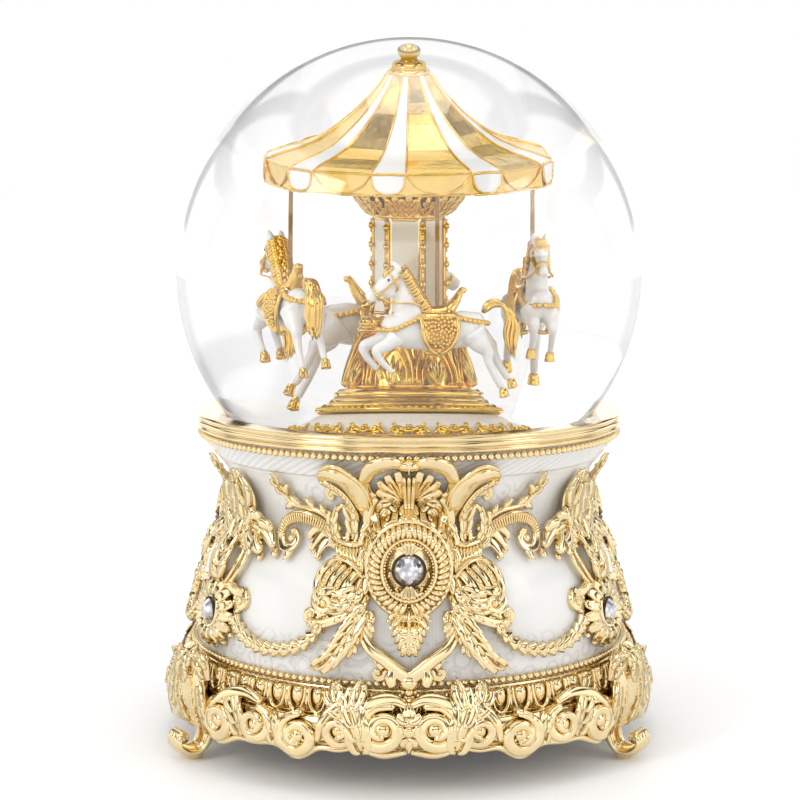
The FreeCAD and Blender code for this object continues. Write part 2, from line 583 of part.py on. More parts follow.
def pin_drum():
    """The pinned drum: each track has a few pins, spread round the drum."""
    drum = lengthwise(DRUM_RADIUS, (DRUM_START, DRUM_END)).cut(plain_drum_arbor())
    middle = (DRUM_START + DRUM_END) / 2
    pins = []
    for track in range(COMB_TEETH):
        x = middle + (track - (COMB_TEETH - 1) / 2) * COMB_PITCH
        for index in range(PINS_PER_TRACK):
            pin = Part.makeCylinder(PIN_RADIUS, PIN_LENGTH * 2, Vector(x, 0, DRUM_RADIUS - PIN_LENGTH))
            pin.rotate(CENTRE, X_AXIS, track * PIN_STEP_DEGREES + index * FULL_TURN / PINS_PER_TRACK)
            pin.translate(Vector(0, 0, DRUM_AXIS_HEIGHT))
            pins.append(pin)
    return joined([drum] + pins)


def governor_pinion():
    """A tooth points at the drum wheel at rest."""
    arbor = lengthwise(GOVERNOR_ARBOR_RADIUS, GOVERNOR_ARBOR_ENDS, GOVERNOR_OFFSET)
    pinion = toothed(GOVERNOR_PINION, GOVERNOR_TEETH, 180, GOVERNOR_OFFSET)
    return joined([pinion, arbor])


def governor_fan():
    hub = lengthwise(FAN_HUB_RADIUS, FAN_ENDS, GOVERNOR_OFFSET)
    low, high = DRUM_AXIS_HEIGHT - FAN_REACH, DRUM_AXIS_HEIGHT + FAN_REACH
    blade = block(FAN_ENDS, (GOVERNOR_OFFSET - FAN_THICKNESS / 2, GOVERNOR_OFFSET + FAN_THICKNESS / 2), (low, high))
    arbor = lengthwise(GOVERNOR_ARBOR_RADIUS, GOVERNOR_ARBOR_ENDS, GOVERNOR_OFFSET)
    return joined([hub, blade]).cut(arbor)


def bearing_posts():
    """Two upright blocks on the bedplate that carry the drum's and the governor's arbors."""
    posts = []
    for start in POST_STARTS:
        post = block((start, start + POST_THICKNESS), POST_Y, (BEDPLATE_TOP, POST_TOP))
        ends = (start, start + POST_THICKNESS)
        post = post.cut(lengthwise(DRUM_ARBOR_RADIUS + RUNNING_GAP, ends))
        posts.append(post.cut(lengthwise(GOVERNOR_ARBOR_RADIUS + RUNNING_GAP, ends, GOVERNOR_OFFSET)))
    return Part.makeCompound(posts)


def comb_screw_holes(bottom, top):
    return Part.makeCompound([upright(x, COMB_SCREW_Y, COMB_SCREW_RADIUS, bottom, top) for x in COMB_SCREW_X])


def music_comb():
    width = COMB_TEETH * COMB_PITCH
    start = (DRUM_START + DRUM_END - width) / 2
    height = (COMB_BOTTOM, COMB_BOTTOM + COMB_THICKNESS)
    plate = block((start, start + width), (COMB_BACK_Y, COMB_TIP_Y), height)
    slots = []
    for index in range(1, COMB_TEETH):
        x = start + index * COMB_PITCH
        slots.append(block((x - COMB_GAP / 2, x + COMB_GAP / 2), (COMB_ROOT_Y, COMB_TIP_Y), height))
    return plate.cut(Part.makeCompound(slots)).cut(comb_screw_holes(*height))


def comb_base():
    base = block((DRUM_START, DRUM_END), COMB_BASE_Y, (BEDPLATE_TOP, COMB_BOTTOM))
    return base.cut(comb_screw_holes(COMB_BOTTOM - COMB_SCREW_LENGTH, COMB_BOTTOM))


def comb_screws():
    screws = []
    top = COMB_BOTTOM + COMB_THICKNESS
    for x in COMB_SCREW_X:
        shank = upright(x, COMB_SCREW_Y, COMB_SCREW_RADIUS, COMB_BOTTOM - COMB_SCREW_LENGTH, top)
        head = upright(x, COMB_SCREW_Y, 2 * COMB_SCREW_RADIUS, top, top + SCREW_HEAD_HEIGHT)
        screws.append(joined([shank, head]))
    return Part.makeCompound(screws)


def stand_crown_ring():
    ring = tube(CROWN_RING["outer"], CROWN_RING["bottom"], CROWN_RING["top"], CROWN_RING["inner"])
    middle = (CROWN_RING["bottom"] + CROWN_RING["top"]) / 2
    window = Part.makeCylinder(CROWN_WINDOW_RADIUS, CROWN_RING["outer"] + 1, Vector(0, 0, middle), Vector(0, -1, 0))
    step = FULL_TURN / CROWN_RING_WINDOWS
    return ring.cut(Part.makeCompound([turned_copy(window, index * step) for index in range(CROWN_RING_WINDOWS)]))


def ball_ring():
    collar = tube(BALL_RING["radius"], BALL_RING["bottom"], BALL_RING["top"], SPINDLE_RADIUS)
    ball = Part.makeSphere(BALL_RADIUS, Vector(0, -BALL_CIRCLE_RADIUS, BALL_RING["top"] + BALL_RADIUS / 2))
    balls = [turned_copy(ball, index * FULL_TURN / BALL_COUNT) for index in range(BALL_COUNT)]
    return joined([collar] + balls)


def column_core():
    points = []
    for index in range(COLUMN_SIDES):
        azimuth = COLUMN_FIRST_VERTEX + index * FULL_TURN / COLUMN_SIDES
        points.append(around(azimuth, CORE_CIRCUMRADIUS, BALL_RING["top"]))
    prism = flat_face(points).extrude(Vector(0, 0, COLUMN_TOP - BALL_RING["top"]))
    return prism.cut(tube(SPINDLE_RADIUS, BALL_RING["top"], COLUMN_TOP))


def column_foot():
    """Where the column's trim starts, clear of the ball ring."""
    return BALL_RING["top"] + 2 * BALL_RADIUS


def column_panels():
    apothem = CORE_CIRCUMRADIUS * math.cos(math.pi / COLUMN_SIDES)
    panel = block((-PANEL_WIDTH / 2, PANEL_WIDTH / 2), (-apothem - PANEL_THICKNESS, -apothem), (column_foot(), COLUMN_TOP))
    step = FULL_TURN / COLUMN_SIDES
    first = COLUMN_FIRST_VERTEX + step / 2
    return Part.makeCompound([turned_copy(panel, first + index * step) for index in range(COLUMN_SIDES)])


def column_strips():
    strip = upright(0, -STRIP_CIRCLE_RADIUS, STRIP_RADIUS, column_foot(), COLUMN_TOP)
    step = FULL_TURN / COLUMN_SIDES
    strips = [turned_copy(strip, COLUMN_FIRST_VERTEX + index * step) for index in range(COLUMN_SIDES)]
    return Part.makeCompound([strip.cut(column_core()) for strip in strips])


def canopy_azimuths():
    azimuths = []
    for index in range(CANOPY_REPEATS):
        start = CANOPY_FIRST_VERTEX + index * (GOLD_PANEL_DEGREES + WHITE_PANEL_DEGREES)
        azimuths += [start, start + WHITE_PANEL_DEGREES]
    return azimuths


def faceted(outline, inset):
    """A many-sided tent: flat panels between level polygons, moved inwards by an inset."""
    levels = []
    for radius, height in outline:
        points = [around(azimuth, radius - inset, height - inset) for azimuth in canopy_azimuths()]
        levels.append(Part.makePolygon(points + points[:1]))
    return Part.makeLoft(levels, True, True)


def valance_tongue(azimuth, next_azimuth):
    """A flat tongue with a round lower edge, hanging from one panel's edge."""
    radius = CANOPY_OUTLINE[0][0]
    start = around(azimuth, radius, TONGUE_TOP)
    end = around(next_azimuth, radius, TONGUE_TOP)
    middle = (start + end) / 2
    low = Vector(middle.x, middle.y, TONGUE_BOTTOM)
    face = Part.Face(Part.Wire([Part.Arc(start, low, end).toShape(), Part.makeLine(end, start)]))
    inward = Vector(-middle.x, -middle.y, 0).normalize() * CANOPY_SHEET
    return face.extrude(inward)


def canopy():
    """The tent roof: a thin faceted shell with a valance, a ceiling plate and a hub on the spindle."""
    azimuths = canopy_azimuths()
    rim_radius, rim_height = CANOPY_OUTLINE[0]
    points = [around(azimuth, rim_radius, TONGUE_TOP) for azimuth in azimuths]
    inner_points = [around(azimuth, rim_radius - CANOPY_SHEET, TONGUE_TOP) for azimuth in azimuths]
    rise = Vector(0, 0, rim_height - TONGUE_TOP)
    valance = flat_face(points).extrude(rise).cut(flat_face(inner_points).extrude(rise))
    tent = faceted(CANOPY_OUTLINE, 0.0).cut(faceted(CANOPY_OUTLINE, CANOPY_SHEET))
    ceiling_points = [around(azimuth, rim_radius - CANOPY_SHEET / 2, CEILING_BOTTOM) for azimuth in azimuths]
    ceiling = flat_face(ceiling_points).extrude(Vector(0, 0, CANOPY_SHEET))
    hub = tube(HUB_RADIUS, CAPITAL_OUTLINE[-1][1], CANOPY_OUTLINE[-1][1])
    tongues = [valance_tongue(a, b) for a, b in zip(azimuths, azimuths[1:] + [azimuths[0] + FULL_TURN])]
    whole = joined([tent, valance, ceiling, hub] + tongues)
    return whole.cut(tube(SPINDLE_RADIUS, CAPITAL_OUTLINE[-1][1], CANOPY_TOP - CANOPY_SHEET))


def finial():
    outline = [(0.0, CANOPY_OUTLINE[-1][1])] + FINIAL_OUTLINE + [(0.0, FINIAL_OUTLINE[-1][1])]
    ball = Part.makeSphere(FINIAL_BALL_RADIUS, Vector(0, 0, FINIAL_BALL_HEIGHT))
    return joined([revolved(outline), ball])


def spindle():
    return tube(SPINDLE_RADIUS, SPINDLE_BOTTOM, CANOPY_TOP - CANOPY_SHEET)


def limb(sections, side=0.0):
    """A round-sectioned solid through (forward, height, radius) stations, offset to one side."""
    points = [Vector(forward, side, height) for forward, height, _ in sections]
    wires = []
    for index, (_, _, radius) in enumerate(sections):
        before = points[max(index - 1, 0)]
        after = points[min(index + 1, len(points) - 1)]
        wires.append(Part.Wire([Part.makeCircle(radius, points[index], after - before)]))
    return Part.makeLoft(wires, True, True)


def horse_at_origin():
    """A galloping horse facing +X, with its belly line near zero. Its pole stands on the saddle, on the Z axis."""
    trunk = limb(TRUNK_SECTIONS)
    parts = [trunk, limb(NECK_SECTIONS), limb(HEAD_SECTIONS), limb(TAIL_SECTIONS)]
    for side in (-LEG_SPREAD, LEG_SPREAD):
        parts.append(limb(FORE_LEG, side))
        parts.append(limb(HIND_LEG, side))
    half = SADDLE["half_width"]
    parts.append(block((SADDLE["start"], SADDLE["end"]), (-half, half), (SADDLE["bottom"], SADDLE["top"])))
    return joined(parts, tidy=False)


def horse(azimuth, lift):
    """The horse on the pole at an azimuth, facing clockwise as seen from above."""
    solid = horse_at_origin()
    solid.rotate(CENTRE, Z_AXIS, 180)
    solid.translate(Vector(0, -POLE_CIRCLE_RADIUS, LOW_HORSE_BELLY + lift))
    return turned_copy(solid, azimuth)


def horse_poles():
    poles = []
    for azimuth, lift in HORSES.values():
        base = around(azimuth, POLE_CIRCLE_RADIUS, LOW_HORSE_BELLY + lift)
        poles.append(upright(base.x, base.y, POLE_RADIUS, base.z + SADDLE["top"], CEILING_BOTTOM))
    return Part.makeCompound(poles)


def base_parts():
    parts = {"base_housing": base_housing(), "top_rim": revolved(RIM_OUTLINE), "rim_bead_string": bead_ring(RIM_BEADS),
             "base_skirt": revolved(SKIRT_OUTLINE), "lower_bead_string": bead_ring(LOWER_BEADS),
             "bottom_plate": bottom_plate(), "plate_screws": plate_screws()}
    for name, azimuth in FOOT_AZIMUTHS.items():
        parts["foot_" + name] = turned_copy(foot(), azimuth)
    for name, azimuth in FRONT_AZIMUTHS.items():
        parts["apron_" + name] = turned_copy(apron(), azimuth)
        parts["cartouche_" + name] = turned_copy(cartouche(), azimuth)
    parts["rosettes"] = Part.makeCompound([turned_copy(rosette(), a) for a in FOOT_AZIMUTHS.values()])
    gems = [turned_copy(cartouche_gem(), azimuth) for azimuth in FRONT_AZIMUTHS.values()]
    gems += [turned_copy(rosette_gem(), azimuth) for azimuth in FOOT_AZIMUTHS.values()]
    parts["crystals"] = Part.makeCompound(gems)
    parts["garlands"] = strands(GARLAND)
    parts["leaf_branches"] = strands(BRANCH)
    return parts


def globe_parts():
    return {"globe_glass": globe_glass(), "globe_plug": globe_plug(), "globe_gasket": globe_gasket(),
            "carousel_stand": revolved(STAND_OUTLINE), "stand_crown_ring": stand_crown_ring(),
            "spindle_bush": tube(BUSH_RADIUS, BUSH_BOTTOM, BUSH_TOP, SPINDLE_RADIUS + RUNNING_GAP)}


def movement_parts():
    return {"movement_bedplate": movement_bedplate(), "movement_screws": movement_screws(),
            "winding_key": winding_key(), "winding_arbor": winding_arbor(), "spring_barrel": spring_barrel(),
            "barrel_cover": barrel_cover(), "mainspring": mainspring(), "output_shaft": output_shaft(),
            "drive_magnet": magnet(DRIVE_MAGNET, OUTPUT_SHAFT_RADIUS), "drum_arbor": drum_arbor(),
            "drum_wheel": drum_wheel(), "pin_drum": pin_drum(),
            "governor_pinion": governor_pinion(), "governor_fan": governor_fan(), "bearing_posts": bearing_posts(),
            "music_comb": music_comb(), "comb_base": comb_base(), "comb_screws": comb_screws()}


def carousel_parts():
    parts = {"spindle": spindle(), "driven_magnet": magnet(DRIVEN_MAGNET, SPINDLE_RADIUS),
             "turntable_base": revolved(TURNTABLE_OUTLINE), "leaf_drum": revolved(LEAF_DRUM_OUTLINE),
             "ball_ring": ball_ring(), "column_core": column_core(), "column_panels": column_panels(),
             "column_strips": column_strips(), "capital": revolved(CAPITAL_OUTLINE), "canopy": canopy(),
             "finial": finial(), "horse_poles": horse_poles()}
    for name, (azimuth, lift) in HORSES.items():
        parts["horse_" + name] = horse(azimuth, lift)
    return parts


def main():
    os.makedirs("parts", exist_ok=True)
    parts = {}
    for group in (base_parts(), globe_parts(), movement_parts(), carousel_parts()):
        parts.update(group)
    for name, shape in parts.items():
        shape.exportStep("parts/" + name + ".step")
        print(name, len(shape.Solids), shape.isValid(), round(shape.Volume, 1))


main()
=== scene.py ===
import json
import math
import random
from bisect import bisect_left

import bmesh
import bpy
from mathutils import Matrix, Vector


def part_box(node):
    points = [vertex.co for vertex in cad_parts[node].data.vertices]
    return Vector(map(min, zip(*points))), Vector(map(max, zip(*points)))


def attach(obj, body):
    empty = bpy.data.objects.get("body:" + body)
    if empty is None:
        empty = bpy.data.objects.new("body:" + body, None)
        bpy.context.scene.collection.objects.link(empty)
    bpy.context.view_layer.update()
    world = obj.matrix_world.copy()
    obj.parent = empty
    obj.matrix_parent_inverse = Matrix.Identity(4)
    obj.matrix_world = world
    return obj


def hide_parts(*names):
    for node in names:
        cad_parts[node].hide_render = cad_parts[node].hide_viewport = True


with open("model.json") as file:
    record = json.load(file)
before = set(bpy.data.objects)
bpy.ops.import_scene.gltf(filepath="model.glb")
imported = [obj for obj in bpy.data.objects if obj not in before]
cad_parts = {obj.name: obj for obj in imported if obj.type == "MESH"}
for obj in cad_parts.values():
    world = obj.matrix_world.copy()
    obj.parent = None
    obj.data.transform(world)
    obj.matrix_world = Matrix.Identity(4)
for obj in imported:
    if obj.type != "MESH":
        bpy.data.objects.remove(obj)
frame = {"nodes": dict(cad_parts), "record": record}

bl_info = {
    "name": "Carousel Music Box",
    "version": (1, 0, 0),
    "blender": (4, 5, 0),
    "location": "View3D > Sidebar > Music Box",
    "description": "Builds the visible pieces of a carousel music box around its packed frame",
    "category": "Object",
}

MM = 0.001
OUT = Vector((0, -1, 0))
RELIEF_RADIUS = 46.0
MEDALLION_HEIGHT = 44.1
ROSETTE_HEIGHT = 30.9
GLOBE_RADIUS = 50.0
GLOBE_CENTRE = 100.0
NECK_RADIUS = 32.0
WATER_RADIUS = 48.6
WATER_BOTTOM = 64.05
HORSE_CIRCLE = 20.2
BELLY_HEIGHT = 86.0
THIRDS = {"front": 0.0, "left": -120.0, "right": 120.0}
FOOT_THIRDS = {"front_left": -60.0, "front_right": 60.0, "back": 180.0}
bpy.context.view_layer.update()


# ---------------------------------------------------------------------------------------------- shapes

def relief(u, v, w=0.0):
    """A point of flat relief: u to the right, v up, w out of the surface, in millimetres."""
    return Vector((u, -w, v))


def spread(values, t):
    """The value at t, between 0 and 1, of a list of evenly spaced values."""
    if isinstance(values, (int, float)):
        return values
    place = min(max(t, 0.0), 1.0) * (len(values) - 1)
    index = min(int(place), len(values) - 2)
    share = place - index
    return values[index] * (1 - share) + values[index + 1] * share


class Path:
    """A smooth line through a few points."""

    def __init__(self, points):
        self.points = [relief(*p) if not isinstance(p, Vector) else p for p in points]
        self.stops = [0.0]
        for a, b in zip(self.points, self.points[1:]):
            self.stops.append(self.stops[-1] + max((b - a).length, 1e-4))
        self.length = self.stops[-1]
        self.frames = {}

    def at(self, t):
        """The point at a share t of the line's length."""
        place = min(max(t, 0.0), 1.0) * self.length
        index = min(max(bisect_left(self.stops, place) - 1, 0), len(self.points) - 2)
        share = (place - self.stops[index]) / (self.stops[index + 1] - self.stops[index])
        p1, p2 = self.points[index], self.points[index + 1]
        p0 = self.points[index - 1] if index else p1 * 2 - p2
        p3 = self.points[index + 2] if index + 2 < len(self.points) else p2 * 2 - p1
        square, cube = share * share, share ** 3
        return ((p1 * 2) + (p2 - p0) * share + (p0 * 2 - p1 * 5 + p2 * 4 - p3) * square
                + (p1 * 3 - p0 - p2 * 3 + p3) * cube) * 0.5

    def heading(self, t):
        return (self.at(t + 0.01) - self.at(t - 0.01)).normalized()

    def frame(self, t, out):
        """The point, the direction across and the direction out at t."""
        key = round(t, 5)
        if key not in self.frames:
            along = self.heading(t)
            across = along.cross(out)
            across = across.normalized() if across.length > 1e-4 else Vector((1, 0, 0))
            self.frames[key] = (self.at(t), across, across.cross(along))
        return self.frames[key]


def round_point(azimuth, radius, height):
    """The point at an azimuth in degrees from the front, a radius and a height."""
    angle = math.radians(azimuth)
    return Vector((radius * math.sin(angle), -radius * math.cos(angle), height))


def append(bm, part):
    """Adds a small shape, made on its own because that is much quicker, to a larger one."""
    mesh = bpy.data.meshes.new("part")
    part.to_mesh(mesh)
    part.free()
    bm.from_mesh(mesh)
    bpy.data.meshes.remove(mesh)


def form(bm, place, around=12, along=12):
    """A closed shape on a sphere's net: place(t, s, face) puts each point, with t from end to end,
    s from edge to edge and face from -1 behind to 1 in front."""
    part = bmesh.new()
    bmesh.ops.create_uvsphere(part, u_segments=around, v_segments=along, radius=1.0)
    for vert in part.verts:
        x, y, z = vert.co
        t = math.acos(min(max(z, -1.0), 1.0)) / math.pi
        girth = math.hypot(x, y)
        s, face = (x / girth, y / girth) if girth > 1e-5 else (0.0, 0.0)
        vert.co = place(t, s, face)
    append(bm, part)


def strip(bm, points, widths, heights, channel=0.0, lobes=0, lobe_depth=0.35, ridges=0.0, sink=0.3, out=OUT,
          around=12, along=24):
    """A band of relief along a line. A channel hollows its middle, lobes scallop its edges and ridges
    score it from its middle to its lobes."""
    path = Path(points)

    def place(t, s, face):
        centre, across, outward = path.frame(t, out)
        half = spread(widths, t)
        if lobes:
            half *= 1 - lobe_depth * (1 - abs(math.sin(math.pi * (lobes * t + 0.12 * abs(s)))))
        if face < 0:
            return centre + across * s * half + outward * face * sink
        rise = spread(heights, t) * face ** 0.8
        rise *= 1 - channel * math.exp(-(s / 0.42) ** 2)
        if ridges:
            rise *= 1 + ridges * math.cos(2 * math.pi * (lobes * t - 0.5 * abs(s)))
        return centre + across * s * half + outward * rise

    form(bm, place, around, along)


def leaf(bm, points, width, height, fingers=4, out=OUT, sink=0.3):
    """An acanthus leaf: a low blade under a grooved midrib, with round-ended lobes that spread from its sides."""
    path = Path(points)
    strip(bm, points, [0.4 * width, 0.8 * width, 0.7 * width, 0.12 * width], 0.45 * height, sink=sink, out=out,
          along=16, around=10)
    strip(bm, points, [0.22 * width, 0.3 * width, 0.26 * width, 0.1 * width], [height, 1.2 * height, 1.1 * height],
          channel=0.45, sink=sink, out=out, along=16, around=8)
    count = max(2, round(fingers * 0.75))
    for side in (-1, 1):
        for index in range(count):
            t = 0.02 + 0.72 * index / count
            reach = width * (1.0 - 0.45 * t) * (0.85 if index == 0 else 1.0)
            root, across, outward = path.frame(t, out)
            along = path.at(min(t + 0.32, 1.0)) - root
            middle = root + across * side * reach * 0.62 + along * 0.1 + outward * height * 0.7
            tip = root + across * side * reach * 1.02 + along * 0.62 + outward * height * 0.75
            curl = root + across * side * reach * 0.86 + along * 1.02 + outward * height * 0.5
            strip(bm, [root + outward * 0.3 * height, middle, tip, curl],
                  [0.16 * width, 0.33 * width, 0.36 * width, 0.3 * width],
                  [0.5 * height, 0.75 * height, 0.75 * height, 0.7 * height], channel=0.5, sink=sink, out=out,
                  along=10, around=8)


def spiral(centre, radius, start, turns, hand=1, end=0.22, height=0.0, rise=0.0):
    """Points of a spiral that winds in from its start angle, in degrees from +u. hand 1 winds anticlockwise."""
    steps = max(int(turns * 12), 3)
    points = []
    for step in range(steps + 1):
        share = step / steps
        angle = math.radians(start + hand * share * turns * 360.0)
        reach = radius * (1 - (1 - end) * share)
        points.append((centre[0] + reach * math.cos(angle), centre[1] + reach * math.sin(angle),
                       height + rise * share))
    return points


def ball(bm, centre, radius, flat=1.0, detail=8):
    """A round boss, flattened out of the surface by flat."""
    centre = relief(*centre) if not isinstance(centre, Vector) else centre
    matrix = Matrix.Translation(centre) @ Matrix.Diagonal((radius, radius * flat, radius, 1.0))
    part = bmesh.new()
    bmesh.ops.create_uvsphere(part, u_segments=detail, v_segments=detail, radius=1.0, matrix=matrix)
    append(bm, part)


def beads(bm, points, radius, spacing, detail=6):
    """A row of small balls along a line."""
    path = Path(points)
    count = max(int(path.length / spacing), 1)
    for index in range(count + 1):
        ball(bm, path.at(index / count), radius, detail=detail)


def ball_circle(bm, count, circle, height, radius, detail):
    """Balls evenly spaced round the axis."""
    for index in range(count):
        ball(bm, round_point(360.0 * index / count, circle, height), radius, detail=detail)


def scroll(bm, stem, centre, radius, start, turns, hand, width, height, eye=0.9, channel=0.45, along=None):
    """A stem that ends in a volute with a round eye."""
    points = list(stem) + spiral(centre, radius, start, turns, hand, rise=0.5 * height)
    along = along or 8 + 2 * len(points)
    strip(bm, points, [width * 0.6, width, width, width * 0.85, width * 0.5], height, channel=channel, along=along)
    ball(bm, (centre[0], centre[1], 0.6 * height), eye * width, flat=1.0)


def fan(bm, centre, radius, aim, half_angle, ribs, height, inner=0.12, around=None, along=10):
    """A ribbed shell that spreads from its root, aimed at an angle in degrees from +u."""
    root = relief(centre[0], centre[1], centre[2] if len(centre) > 2 else 0.0)

    def place(t, s, face):
        turn = math.asin(min(max(s, -1), 1)) / (math.pi / 2)
        angle = math.radians(aim + turn * half_angle)
        rib = math.cos(math.pi * ribs * turn)
        reach = radius * (inner + (1 - inner) * t) * (1 + 0.05 * rib * t)
        rise = height * (0.35 + 0.65 * t) * (0.72 + 0.28 * rib) * (1 if t < 0.97 else 0.6)
        return root + relief(reach * math.cos(angle), reach * math.sin(angle), rise if face > 0 else -0.3)

    form(bm, place, around or 4 * ribs + 8, along)


def dome(bm, middle, half_width, half_height, rise, around, along):
    """A low oval boss round a height on the relief's middle line."""
    def place(t, s, face):
        girth = math.sin(math.pi * t / 2 + 0.001)
        across = math.copysign(math.sqrt(max(1 - s * s, 0)), face)
        return relief(half_width * girth * s, middle + half_height * girth * across, rise * math.cos(math.pi * t / 2))

    form(bm, place, around, along)


def oval(centre, half_width, half_height, count, height):
    """Points round a closed oval, the first one repeated at the end."""
    points = []
    for step in range(count + 1):
        angle = 2 * math.pi * step / count
        points.append((centre[0] + half_width * math.cos(angle), centre[1] + half_height * math.sin(angle), height))
    return points


def round_tube(tube, segments, steps):
    """A ring of radius 1 about the Z axis: a circle spun round into a tube."""
    part = bmesh.new()
    bmesh.ops.create_circle(part, segments=segments, radius=tube,
                            matrix=Matrix.Translation((1, 0, 0)) @ Matrix.Rotation(math.pi / 2, 4, "X"))
    bmesh.ops.spin(part, geom=part.verts[:] + part.edges[:], cent=(0, 0, 0), axis=(0, 0, 1), angle=2 * math.pi,
                   steps=steps, use_merge=True, use_duplicate=False)
    return part


def ring(bm, centre, half_width, half_height, tube, height):
    """A closed oval moulding."""
    part = round_tube(tube, 8, 40)
    for vert in part.verts:
        x, y, z = vert.co
        angle = math.atan2(y, x)
        off = math.hypot(x, y) - 1
        vert.co = relief(centre[0] + (half_width + off) * math.cos(angle),
                         centre[1] + (half_height + off) * math.sin(angle), height + z)
    append(bm, part)


def mirrored(bm):
    """Adds the left half of a relief whose right half is made."""
    geometry = bm.verts[:] + bm.edges[:] + bm.faces[:]
    bmesh.ops.mirror(bm, geom=geometry, axis="X", merge_dist=-1)


def turned(bm, outline, segments=128):
    """A shape of revolution from a closed outline of (radius, height) points in millimetres."""
    points = [Vector((r, 0, z)) for r, z in outline]
    verts = [bm.verts.new(p) for p in points]
    edges = [bm.edges.new(pair) for pair in zip(verts, verts[1:] + verts[:1])]
    bmesh.ops.spin(bm, geom=verts + edges, cent=(0, 0, 0), axis=(0, 0, 1), angle=2 * math.pi, steps=segments,
                   use_merge=True, use_duplicate=False)
    bmesh.ops.remove_doubles(bm, verts=bm.verts, dist=1e-4)


class Surface:
    """The outer surface of a round CAD node: its radius, in millimetres, at any height."""

    def __init__(self, node, window=2.0, drop=1.4):
        points = sorted({(round(vert.co.z / MM, 2), round(math.hypot(vert.co.x, vert.co.y) / MM, 2))
                         for vert in frame["nodes"][node].data.vertices})
        heights = {}
        for z, r in points:
            heights[z] = max(heights.get(z, 0.0), r)
        kept = []
        for z, r in sorted(heights.items()):
            near = max(q for h, q in heights.items() if abs(h - z) <= window)
            if r > near - drop:
                kept.append((z, r))
        self.heights = [z for z, r in kept]
        self.radii = [r for z, r in kept]

    def radius(self, z):
        if z <= self.heights[0]:
            return self.radii[0]
        if z >= self.heights[-1]:
            return self.radii[-1]
        index = bisect_left(self.heights, z)
        low, high = self.heights[index - 1], self.heights[index]
        share = (z - low) / (high - low)
        return self.radii[index - 1] * (1 - share) + self.radii[index] * share


BELL = Surface("base_housing")
SKIRT = Surface("base_skirt")


def leaf_drum_radius(z):
    """The leaf drum's radius under its relief, in millimetres."""
    return spread([10.3, 10.1, 9.7, 9.2, 8.6, 8.1, 7.8], (z - 80.8) / 9.5)


def bend(bm, radius_at, azimuth, reference):
    """Bends flat relief round the axis, over the radius at each height, its middle at an azimuth in degrees."""
    for vert in bm.verts:
        u, w, v = vert.co.x, -vert.co.y, vert.co.z
        vert.co = round_point(azimuth + math.degrees(u / reference), radius_at(v) + w, v)


def wrap(bm, surface, azimuth):
    """Bends relief round a surface of the base."""
    bend(bm, surface.radius, azimuth, RELIEF_RADIUS)


def repeat_round(bm, motif, radius_at, azimuths, reference):
    """Adds a copy of a motif, bent round the axis, at each azimuth."""
    for azimuth in azimuths:
        part = motif.copy()
        bend(part, radius_at, azimuth, reference)
        append(bm, part)
    motif.free()


def evenly(count, first=0.0):
    """Azimuths of evenly spaced copies."""
    return [first + 360.0 * index / count for index in range(count)]


def piece(name, bm, body, slot, material, replaces=(), flat=False):
    """Turns a shape in millimetres into a finished piece that rides on a CAD body."""
    bmesh.ops.recalc_face_normals(bm, faces=bm.faces)
    mesh = bpy.data.meshes.new(name)
    bm.to_mesh(mesh)
    mesh.transform(Matrix.Scale(MM, 4))
    if not flat:
        mesh.shade_smooth()
    bm.free()
    for entry in material if isinstance(material, (list, tuple)) else [material]:
        mesh.materials.append(entry)
    thing = bpy.data.objects.new(name, mesh)
    bpy.context.scene.collection.objects.link(thing)
    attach(thing, body)
    if replaces:
        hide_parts(*replaces)


def base_gold(name, bm, *nodes):
    """A gold-plated piece of the base."""
    piece(name, bm, "base", "gold_plate", finish("gold_plate"), replaces=nodes)


def carousel_gold(name, bm, *nodes):
    """A gold-plated piece of the carousel."""
    piece(name, bm, "carousel", "gold_plate", finish("gold_inner"), replaces=nodes)


def three_copies(prefix, build, surface, names, nodes):
    """Makes a relief once and wraps a copy of it at each of three azimuths."""
    flat_relief = bmesh.new()
    build(flat_relief)
    for name, azimuth in names.items():
        copy = flat_relief.copy()
        wrap(copy, surface, azimuth)
        base_gold(prefix + "_" + name, copy, *nodes(name))
    flat_relief.free()


# ---------------------------------------------------------------------------------------------- shaders

class Value:
    """A shader socket that takes part in Python sums: each operator adds a Math node."""

    def __init__(self, nodes, socket):
        self.nodes = nodes
        self.socket = socket

    def maths(self, operation, *inputs):
        return self.nodes.node("ShaderNodeMath", "Value", {"operation": operation}, dict(enumerate(inputs)))

    def alone(self, operation):
        return self.maths(operation, self)

    def __add__(self, other):
        return self.maths("ADD", self, other)

    __radd__ = __add__

    def __sub__(self, other):
        return self.maths("SUBTRACT", self, other)

    def __rsub__(self, other):
        return self.maths("SUBTRACT", other, self)

    def __mul__(self, other):
        return self.maths("MULTIPLY", self, other)

    __rmul__ = __mul__

    def __truediv__(self, other):
        return self.maths("DIVIDE", self, other)

    def __rtruediv__(self, other):
        return self.maths("DIVIDE", other, self)

    def __pow__(self, other):
        return self.maths("POWER", self, other)


